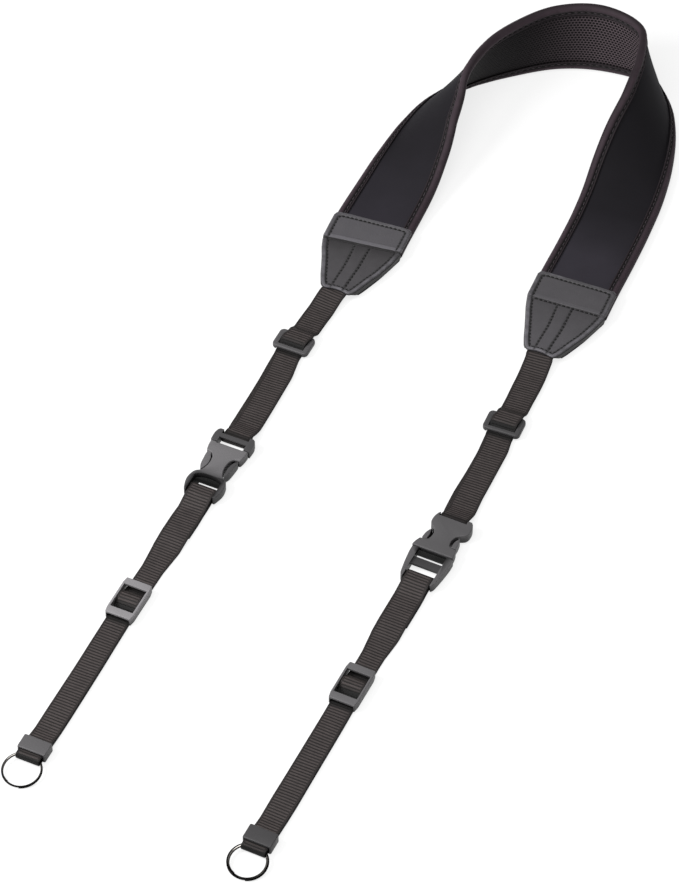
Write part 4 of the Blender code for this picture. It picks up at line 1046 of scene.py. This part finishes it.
def lower_path(row):
    """Side view of the webbing from under the buckle round its pin, through the adjuster to the ring."""
    pin, fold = row["lower_pin"], row["fold_end"]
    loop = row["adjuster"] + ADJUSTER_LOOP
    upper_end, lower_end = row["keeper"]
    return [
        (pin - 36, WEB_LOW, 0), (pin - 12, WEB_LOW, 8), (pin - 6, PIN_LOOP_BOTTOM, 6),
        (pin + PIN_TURN, PIN_LOOP_BOTTOM, PIN_TURN), (pin + PIN_TURN, PIN_LOOP_TOP, PIN_TURN),
        (pin - 5, PIN_LOOP_TOP, 6), (pin - 16, WEB_HIGH, 10), (pin - 38, WEB_HIGH, 12),
        (pin - 50, WEB_LOW, 12), (loop + 12, WEB_LOW, 6), (loop + 6.4, 1.3, 3),
        (loop + 1.9, OVER_ADJUSTER_BAR, 2), (loop - 1.9, OVER_ADJUSTER_BAR, 2), (loop - 6, WEB_HIGH, 3),
        (upper_end + 9, WEB_HIGH, 10),
        (lower_end + 1.4, 5.15, 3), (fold + 2.9, FOLD_TOP, 3), (fold, FOLD_TOP, FOLD_RADIUS),
        (fold, FOLD_BOTTOM, FOLD_RADIUS), (upper_end + 2, FOLD_BOTTOM, 8), (upper_end + 12, WEB_LOW, 8),
    ] + loop_over_bar(loop, ADJUSTER_LOOP_RADIUS)


def web_height(s, part, swell, face):
    """Height of the webbing's face, and of the rib there: cross ribs between two plain selvedges."""
    ridge = abs(sin(pi * (s / RIB_PITCH + 0.05 * sin(part * 2 + s / 11)))) ** 0.55
    depth = RIB_DEPTH
    if abs(part) > SELVEDGE:
        ridge = 0.62 + 0.2 * sin(2 * pi * (s / 1.1 + abs(part) * 6))
        depth = 0.05
    soft = rough(s / 1.1, part * 5, face * 2) * 0.03
    level = (WEB_WALL / 2 - depth * (1 - ridge)) * swell + soft * swell
    return (min(level, WEB_WALL / 2 - 0.01) if face < 0 else level), ridge


def weave_webbing(name, leg, path, node):
    """Strip along its side view path."""
    corners = round_corners(path)
    distance = travelled(corners)
    ys, zs = zip(*corners)
    rows = steps_between(0, distance[-1], RIB_PITCH / 8)
    places = [(float(np.interp(s, distance, ys)), float(np.interp(s, distance, zs))) for s in rows]
    beside = np.pad([leg.beside(y, z) for y, z in places], WEB_EVENING, mode="edge")
    window = 2 * WEB_EVENING + 1
    evened = np.convolve(beside, np.ones(window) / window, "valid")
    centres = [Vector((leg.x(y) + shift, y, z)) for (y, z), shift in zip(places, evened)]
    keeper = leg.row["keeper"][1]
    anchors = {**leg.row, "keeper": keeper}
    shades = [(anchors[anchor] + y, shade) for anchor, table in WEB_SHADES.items() for y, shade in table]
    rings, weave, crest = [], [], []
    for i, (s, centre) in enumerate(zip(rows, centres)):
        tangent = (centres[min(i + 3, len(centres) - 1)] - centres[max(i - 3, 0)]).normalized()
        turn = leg.angle(centre.y)
        across = Vector((cos(turn), sin(turn), 0))
        normal = across.cross(tangent).normalized()
        wobble = rough(s / 30, leg.x(0), 0) * 0.1
        half = leg.half_width(centre.y) - 0.02
        # painted shade by y from each fitting
        shade = read(shades, centre.y)
        # painted shade on the lower half of the fold round the ring
        if centre.y < keeper - 0.3:
            shade *= smooth_step((centre.z - FOLD_TOP + 0.9) / 0.8)
        ring = []
        for face, section in ((1, WEB_SECTION), (-1, WEB_SECTION[::-1])):
            for part, swell in section:
                level, ridge = web_height(s, part, swell, face)
                ring.append(centre + across * (part * half + wobble) + normal * face * level)
                weave.append((s, part * half, face))
                # painted light and shade: pale rib crests, dark between the ribs and on the rounded edges
                crest.append(ridge * (1 - 0.75 * smooth_step((abs(part) - 0.955) / 0.03)) * shade)
        rings.append(ring)
    dress(mesh_object(name, *skin(rings), weave=weave, crest=crest), WEBBING, "webbing", node)


# ---------------- moulded fittings
def opening(half_width, y0, y1, low=BELOW, high=ABOVE):
    """A box to cut away: its outline and its two levels."""
    return [(half_width, y0), (half_width, y1), (-half_width, y1), (-half_width, y0)], low, high


def mirrored(rows):
    """Outline of both sides from (down, half width) rows."""
    right = [(half, -down) for down, half in rows if half > 0]
    inner = [(0, -down) for down, half in rows if half == 0]
    return right + inner + [(-x, y) for x, y in right[::-1]]


def rounded_box(half_width, length, radius, steps=6):
    outline = []
    for quarter, (side_x, side_y) in enumerate(((1, 1), (-1, 1), (-1, -1), (1, -1))):
        for step in range(steps + 1):
            angle = radians(90 * quarter + 90 * step / steps)
            outline.append((side_x * (half_width - radius) + radius * cos(angle),
                            side_y * (length / 2 - radius) + radius * sin(angle)))
    return outline


def eased(outline, steps=4, corner=38):
    """Rounds an outline between its sharp corners with a smooth curve through its points."""
    points = [Vector(p) for p in outline]
    count = len(points)
    edges = [points[(i + 1) % count] - points[i] for i in range(count)]
    sharp = [abs(degrees(edges[i - 1].angle_signed(edges[i]))) > corner for i in range(count)]
    curve = []
    for i in range(count):
        j = (i + 1) % count
        a, b, edge = points[i], points[j], edges[i]
        enter = edge.normalized() if sharp[i] else (b - points[i - 1]).normalized()
        leave = edge.normalized() if sharp[j] else (points[(i + 2) % count] - a).normalized()
        for t in [0] if sharp[i] and sharp[j] else [step / steps for step in range(steps)]:
            point = (a * (2 * t ** 3 - 3 * t ** 2 + 1) + enter * edge.length * (t ** 3 - 2 * t ** 2 + t)
                     + b * (3 * t ** 2 - 2 * t ** 3) + leave * edge.length * (t ** 3 - t ** 2))
            curve.append(tuple(point))
    return curve


def prism(outline, low, high):
    bm = bmesh.new()
    face = bm.faces.new([bm.verts.new((x * MM, y * MM, low * MM)) for x, y in outline])
    raised = bmesh.ops.extrude_face_region(bm, geom=[face])
    tops = [item for item in raised["geom"] if isinstance(item, bmesh.types.BMVert)]
    bmesh.ops.translate(bm, vec=(0, 0, (high - low) * MM), verts=tops)
    bmesh.ops.recalc_face_normals(bm, faces=bm.faces)
    mesh = bpy.data.meshes.new("blank")
    bm.to_mesh(mesh)
    bm.free()
    return mesh


def shaped(piece, width, segments, angle, tools=()):
    """Rounds a piece's edges and cuts the tools out of it."""
    bevel = piece.modifiers.new("edge", "BEVEL")
    bevel.width = width * MM
    bevel.segments = segments
    bevel.limit_method = "ANGLE"
    bevel.angle_limit = radians(angle)
    for tool in tools:
        cut = piece.modifiers.new("opening", "BOOLEAN")
        cut.operation = "DIFFERENCE"
        cut.solver = "EXACT"
        cut.object = tool
    bpy.context.view_layer.update()
    made = bpy.data.meshes.new_from_object(piece.evaluated_get(bpy.context.evaluated_depsgraph_get()))
    piece.modifiers.clear()
    piece.data = made
    for tool in tools:
        bpy.data.objects.remove(tool, do_unlink=True)


def moulded(name, node, body, openings, edge, place, tone, fade=lambda x, down: 1):
    """Moulded fitting: rounded body, openings, and a fine radius on every edge."""
    piece = placed(name, body)
    shaped(piece, edge, 3, 50, [placed("cutter", prism(*cut)) for cut in openings])
    shaped(piece, FINE_EDGE, 2, 55)
    mesh = piece.data
    mesh.shade_smooth()
    mesh.set_sharp_from_angle(angle=radians(38))
    top = max(vertex.co.z for vertex in mesh.vertices) / MM
    # painted light and shade: pale on the top faces, dark in the recesses, times the piece's tone and fade
    paint(piece, raised=[tone * smooth_step((vertex.co.z / MM - top + RECESS_DEPTH) / RECESS_DEPTH)
                         * fade(vertex.co.x / MM, -vertex.co.y / MM) for vertex in mesh.vertices])
    x, y, angle = place
    mesh.transform(Matrix.Translation((Vector((x, y, 0)) + SHIFT) * MM) @ Matrix.Rotation(angle, 4, "Z"))
    dress(piece, ACETAL, "plastic", node)


def bar_openings(slots, half, inner, upper_end, bar, bar_half, levels):
    """Two slots beside a thinner bar, and the clearance under both end bars."""
    slot, end_slot = slots
    bar_top, bar_bottom, end_bottom = levels
    beside = bar_half + 0.2
    return [
        opening(slot, -inner, bar - bar_half),
        opening(slot, bar + bar_half, upper_end),
        opening(slot, bar - beside, bar + beside, bar_top, ABOVE),
        opening(slot, bar - beside, bar + beside, BELOW, bar_bottom),
        opening(end_slot, -half - PAST, -inner + 0.1, BELOW, end_bottom),
        opening(end_slot, inner - 0.1, half + PAST, BELOW, end_bottom),
    ]


def make_slider(side):
    """Three bars: the webbing comes over both end bars and ends round the middle one."""
    leg = LEG[side]
    half = SLIDER_LENGTH / 2
    inner = half - SLIDER_END_BAR
    openings = bar_openings((SLOT_HALF - 0.25, SLOT_HALF), half, inner, inner - 0.9, SLIDER_LOOP, 1,
                            (3.3, PIN_BOTTOM, 2.8))
    body = prism(rounded_box(SLIDER_HALF, SLIDER_LENGTH, 3), SLIDER_BOTTOM, SLIDER_TOP)
    x, y, angle = leg.place(leg.row["slider"])
    place = (x + read(leg.row["over"], y), y, angle)
    moulded(side + "_three_bar_slider", side + "_slider", body, openings, 0.9, place, SLIDER_TONE[side])


def make_adjuster(side):
    """A longer frame with cut corners; the webbing ends round its middle bar."""
    leg = LEG[side]
    half = ADJUSTER_LENGTH / 2
    inner = half - ADJUSTER_END_BAR
    wide = leg.half_width(leg.row["adjuster"]) + 0.15
    openings = bar_openings((wide, wide), half, inner, inner, ADJUSTER_LOOP, 0.8, (3, 1.7, 4.9))
    right = [(8.2, half), (ADJUSTER_HALF, half - 4), (ADJUSTER_HALF, 4 - half), (8.2, -half)]
    body = prism(right + [(-x, y) for x, y in right[::-1]], GAP, ADJUSTER_TOP)
    place = leg.place(leg.row["adjuster"])
    moulded(side + "_ladder_adjuster", side + "_adjuster", body, openings, 0.6, place, ADJUSTER_TONE[side])


def make_keeper(side):
    """A flat loop that holds the fold's two layers together."""
    leg = LEG[side]
    upper_end, lower_end = leg.row["keeper"]
    length = upper_end - lower_end
    hole = opening(leg.half_width(lower_end) + GAP, -length, length, 0.6, 6)
    body = prism(rounded_box(KEEPER_HALF, length, 0.8, 2), 0, KEEPER_TOP)
    place = leg.place((upper_end + lower_end) / 2)
    moulded(side + "_webbing_keeper", side + "_keeper", body, [hole], 0.7, place, KEEPER_TONE[side])


# Buckles: distances run down from the buckle's upper end.
def cut_box(down_0, down_1, low=BELOW, high=ABOVE, half=SLOT_HALF):
    return opening(half, -down_0, -down_1, low, high)


def pin_openings(pin_down, towards, edge_down):
    """The webbing's way round the pin, towards the middle of the buckle and at its end."""
    inner = pin_down + towards * PIN_INNER
    return [
        cut_box(edge_down, pin_down - towards * PIN_OUTER),
        cut_box(edge_down, inner + towards * 0.2, PIN_TOP, COVER_UNDERSIDE),
        cut_box(edge_down, inner + towards * 0.2, BELOW, PIN_BOTTOM),
    ]


def neck_clearance(down_0, down_1, half):
    """Leaves the neck between two halves standing."""
    return [cut_box(down_0, down_1, BELOW, NECK_BOTTOM, half),
            cut_box(down_0, down_1, NECK_TOP, ABOVE, half)]


def bent(outline, bend):
    return [(x + read(bend, -y), y) for x, y in outline]


def buckle(side, half_name, rows, openings, top, edge, tone, fade=lambda x, down: 1, bend=NO_BEND):
    """One half of a buckle: rows of its outline, and its openings."""
    leg = LEG[side]
    middle = leg.row["buckle_top"] - BUCKLE_MIDDLE
    x, _, angle = leg.place(middle)
    place = (x - BUCKLE_MIDDLE * sin(angle), middle + BUCKLE_MIDDLE * cos(angle), angle)
    body = prism(bent(eased(mirrored(rows)), bend), BUCKLE_BOTTOM, top)
    name = {"male": "_buckle_prongs", "female": "_buckle_socket"}[half_name]
    moulded(side + name, side + "_buckle_" + half_name, body, openings, edge, place, tone[side], fade)


def pin_places(side):
    row = LEG[side].row
    return row["buckle_top"] - row["upper_pin"], row["buckle_top"] - row["lower_pin"]


def make_left_buckle():
    """Its pronged half is at the pad, and the hollowed inner side shows on its right prong."""
    upper, lower = pin_places("left")
    male = pin_openings(upper, 1, -PAST) + [
        cut_box(-PAST, 3.2, PIN_TOP, ABOVE),
        cut_box(upper + PIN_INNER, 13, BELOW, COVER_UNDERSIDE),
        cut_box(6.4, 13),
        *neck_clearance(10.35, 20.1, 14),
        ([(half, -down) for down, half in LEFT_SCOOP], LEDGE, ABOVE),
    ]
    # painted light: one prong's top is painted paler
    buckle("left", "male", LEFT_MALE, male, LEFT_MALE_TOP, 1.1, PRONG_TONE,
           lambda x, down: 2.1 if x < 0 and down > 14 else 1)
    end = LEFT_FEMALE[-1][0] + PAST
    pin = lower - PIN_INNER
    arch = [(9.4 * cos(pi * i / 24), 3.8 * sin(pi * i / 24) - 41.3) for i in range(25)]
    female = pin_openings(lower, -1, end) + [
        cut_box(8, 21.4, NECK_BOTTOM - GAP, NECK_TOP + GAP, MOUTH_HALF),
        cut_box(10, LIP_END, LIP_TOP, ABOVE, LIP_HALF),
        ([(SLOT_HALF, -42), (SLOT_HALF, -pin), (-SLOT_HALF, -pin), (-SLOT_HALF, 3 - lower),
          (LEFT_WINDOW_FOOT, 3 - lower), (LEFT_WINDOW_FOOT, -42)], BELOW, ABOVE),
        cut_box(41.2, pin, WINDOW_FLOOR_TOP, ABOVE),
        cut_box(41.2, pin, BELOW, WINDOW_FLOOR_BOTTOM),
        cut_box(pin - 0.1, end, PIN_TOP, ABOVE),
        (arch, WINDOW_FLOOR_TOP, ABOVE),
        (arch, BELOW, WINDOW_FLOOR_BOTTOM),
    ]
    # painted shade: darker from the plate's arch on, darkest within the window
    buckle("left", "female", LEFT_FEMALE, female, FEMALE_TOP, 1.2, PLATE_TONE,
           lambda x, down: read(PLATE_FADE, down) * (0.3 if down > 37.5 and abs(x) < 9.7 else 1))


def make_right_buckle():
    """Its socket half is at the pad."""
    upper, lower = pin_places("right")
    female = pin_openings(upper, 1, -PAST) + [
        cut_box(upper + PIN_INNER, 8.7, BELOW, COVER_UNDERSIDE),
        cut_box(22.4, 34, NECK_BOTTOM - GAP, NECK_TOP + GAP, MOUTH_HALF),
    ]
    buckle("right", "female", RIGHT_FEMALE, female, FEMALE_TOP, 1.2, PLATE_TONE, bend=PLATE_BEND)
    end = RIGHT_MALE[0][0] + PAST
    pin = lower - PIN_INNER
    window = RIGHT_WINDOW_HALF
    male = pin_openings(lower, -1, end) + [
        *neck_clearance(23.5, 31.25, 14),
        cut_box(31.2, 34.8, 4.2, ABOVE, window),
        cut_box(31.2, 34.8, BELOW, NECK_BOTTOM, window),
        cut_box(34.7, 37.5, half=window),
        cut_box(37.4, 43.2, 5.2, ABOVE, window),
        cut_box(37.4, 43.2, BELOW, 3.4, window),
        cut_box(43.1, pin, half=window),
        cut_box(pin - 0.1, end, PIN_TOP, ABOVE),
    ]
    male += [(bent([(sign * half, -down) for down, half in RIGHT_SCOOP], PRONG_BEND), LEDGE, ABOVE)
             for sign in (1, -1)]
    # painted shade: the frame round the upper slot is darker
    buckle("right", "male", RIGHT_MALE, male, RIGHT_MALE_TOP, 0.9, PRONG_TONE,
           lambda x, down: 0.2 if 30.5 < down < 37.45 and (down < 32 or abs(x) < 9.7) else 1, PRONG_BEND)


# ---------------- split rings
def coil_ring(side):
    """Two turns of wire that lean from the webbing's fold down to the table."""
    leg = LEG[side]
    near_height = RING_WIRE / 2 + RING_PITCH * RING_TURNS / 2
    tilt = asin((FOLD_MIDDLE - 0.05 - near_height) / (2 * RING_RADIUS))
    centre_y = leg.row["ring_far"] - RING_RADIUS * cos(tilt)
    centre = Vector((leg.x(centre_y), centre_y, (FOLD_MIDDLE + near_height) / 2))
    turn = Matrix.Rotation(tilt, 3, "X")
    flat = WIRE_WIDTH[side] / RING_WIRE
    radius = RING_RADIUS - (WIRE_WIDTH[side] - RING_WIRE) / 4
    rings, polish = [], []
    for i in range(round(RING_TURNS * RING_STEPS) + 1):
        turned = i / RING_STEPS
        angle = radians(RING_START) + 2 * pi * turned
        out = Vector((cos(angle), sin(angle), 0))
        middle = out * radius + Vector((0, 0, RING_PITCH * (turned - RING_TURNS / 2)))
        # the painted highlight fades on the ring's near side
        bright = 1 - 0.9 * smooth_step((-sin(angle) - 0.2) / 0.6)
        ring = []
        for k in range(WIRE_SIDES):
            a = 2 * pi * k / WIRE_SIDES
            wire = out * flat * cos(a) + Vector((0, 0, sin(a)))
            ring.append(centre + turn @ (middle + wire * RING_WIRE / 2))
            # painted highlight along the wire's crown, painted shade on its flanks
            polish.append(bright * smooth_step((sin(a - 0.4) - 0.86) / 0.12))
        rings.append(ring)
    piece = mesh_object(side + "_wire_ring", *skin(rings), polish=polish)
    dress(piece, NICKEL, "steel", side + "_split_ring")


# ---------------- stage
def area_light(name, place, size, power):
    """Round soft light aimed at the strap's middle."""
    data = bpy.data.lights.new(name, "AREA")
    data.shape = "DISK"
    data.size = size
    data.energy = power
    lamp = placed(name, data)
    lamp.location = place
    lamp.rotation_euler = (Vector((0, -0.1, 0)) - Vector(place)).to_track_quat("-Z", "Y").to_euler()


def light_table(tree):
    """White acrylic, lit from below: it glows through, so the contact shadows almost vanish."""
    return {"Roughness": 0.9, "Specular IOR Level": 0, "Emission Color": "#ffffff", "Emission Strength": 0.78}


def set_stage():
    """Table, white studio walls and two lamps."""
    scene = bpy.context.scene
    scene.view_settings.view_transform = "Standard"
    corners = [(x * TABLE_HALF, y * TABLE_HALF, 0) for x, y in ((-1, -1), (1, -1), (1, 1), (-1, 1))]
    mesh = bpy.data.meshes.new("table")
    mesh.from_pydata(corners, [], [(0, 1, 2, 3)])
    mesh.materials.append(material("backlit_white_acrylic", "#8c8c8c", light_table))
    table = placed("table", mesh)
    table.location.z = -TABLE_DROP
    world = bpy.data.worlds.new("studio")
    scene.world = world
    world.use_nodes = True
    set_inputs(world.node_tree, world.node_tree.nodes["Background"], {"Color": "#ffffff", "Strength": 0.24})
    area_light("overhead", (0, -0.45, 1.5), 1.2, 14)
    area_light("left_key", (-1, -0.8, 1.15), 0.7, 26)


def aim_camera():
    """Camera that looks at the strap's middle from where the photograph was taken."""
    data = bpy.data.cameras.new("photo_view")
    data.sensor_width = 36
    data.lens = CAMERA_LENS
    data.clip_end = 20
    camera = placed("photo_view", data)
    place = Vector(CAMERA_PLACE)
    ahead = -place.normalized()
    right = Vector(CAMERA_RIGHT).normalized()
    turn = Matrix((right, right.cross(ahead).normalized(), -ahead)).transposed().to_4x4()
    camera.matrix_world = Matrix.Translation((place + SHIFT) * MM) @ turn
    bpy.context.scene.camera = camera


fill_pad()
sew_lining()
bind_edge("binding_lower_edge", "binding_bottom", False)
bind_edge("binding_upper_edge", "binding_top", True)
sew_bindings()
for side in ("left", "right"):
    cut_patch(side)
    sew_patch(side)
    weave_webbing(side + "_webbing_to_pad", LEG[side], upper_path(LEGS[side]), side + "_upper_webbing")
    weave_webbing(side + "_webbing_to_ring", LEG[side], lower_path(LEGS[side]), side + "_lower_webbing")
    make_slider(side)
    make_adjuster(side)
    make_keeper(side)
    coil_ring(side)
make_left_buckle()
make_right_buckle()
set_stage()
aim_camera()
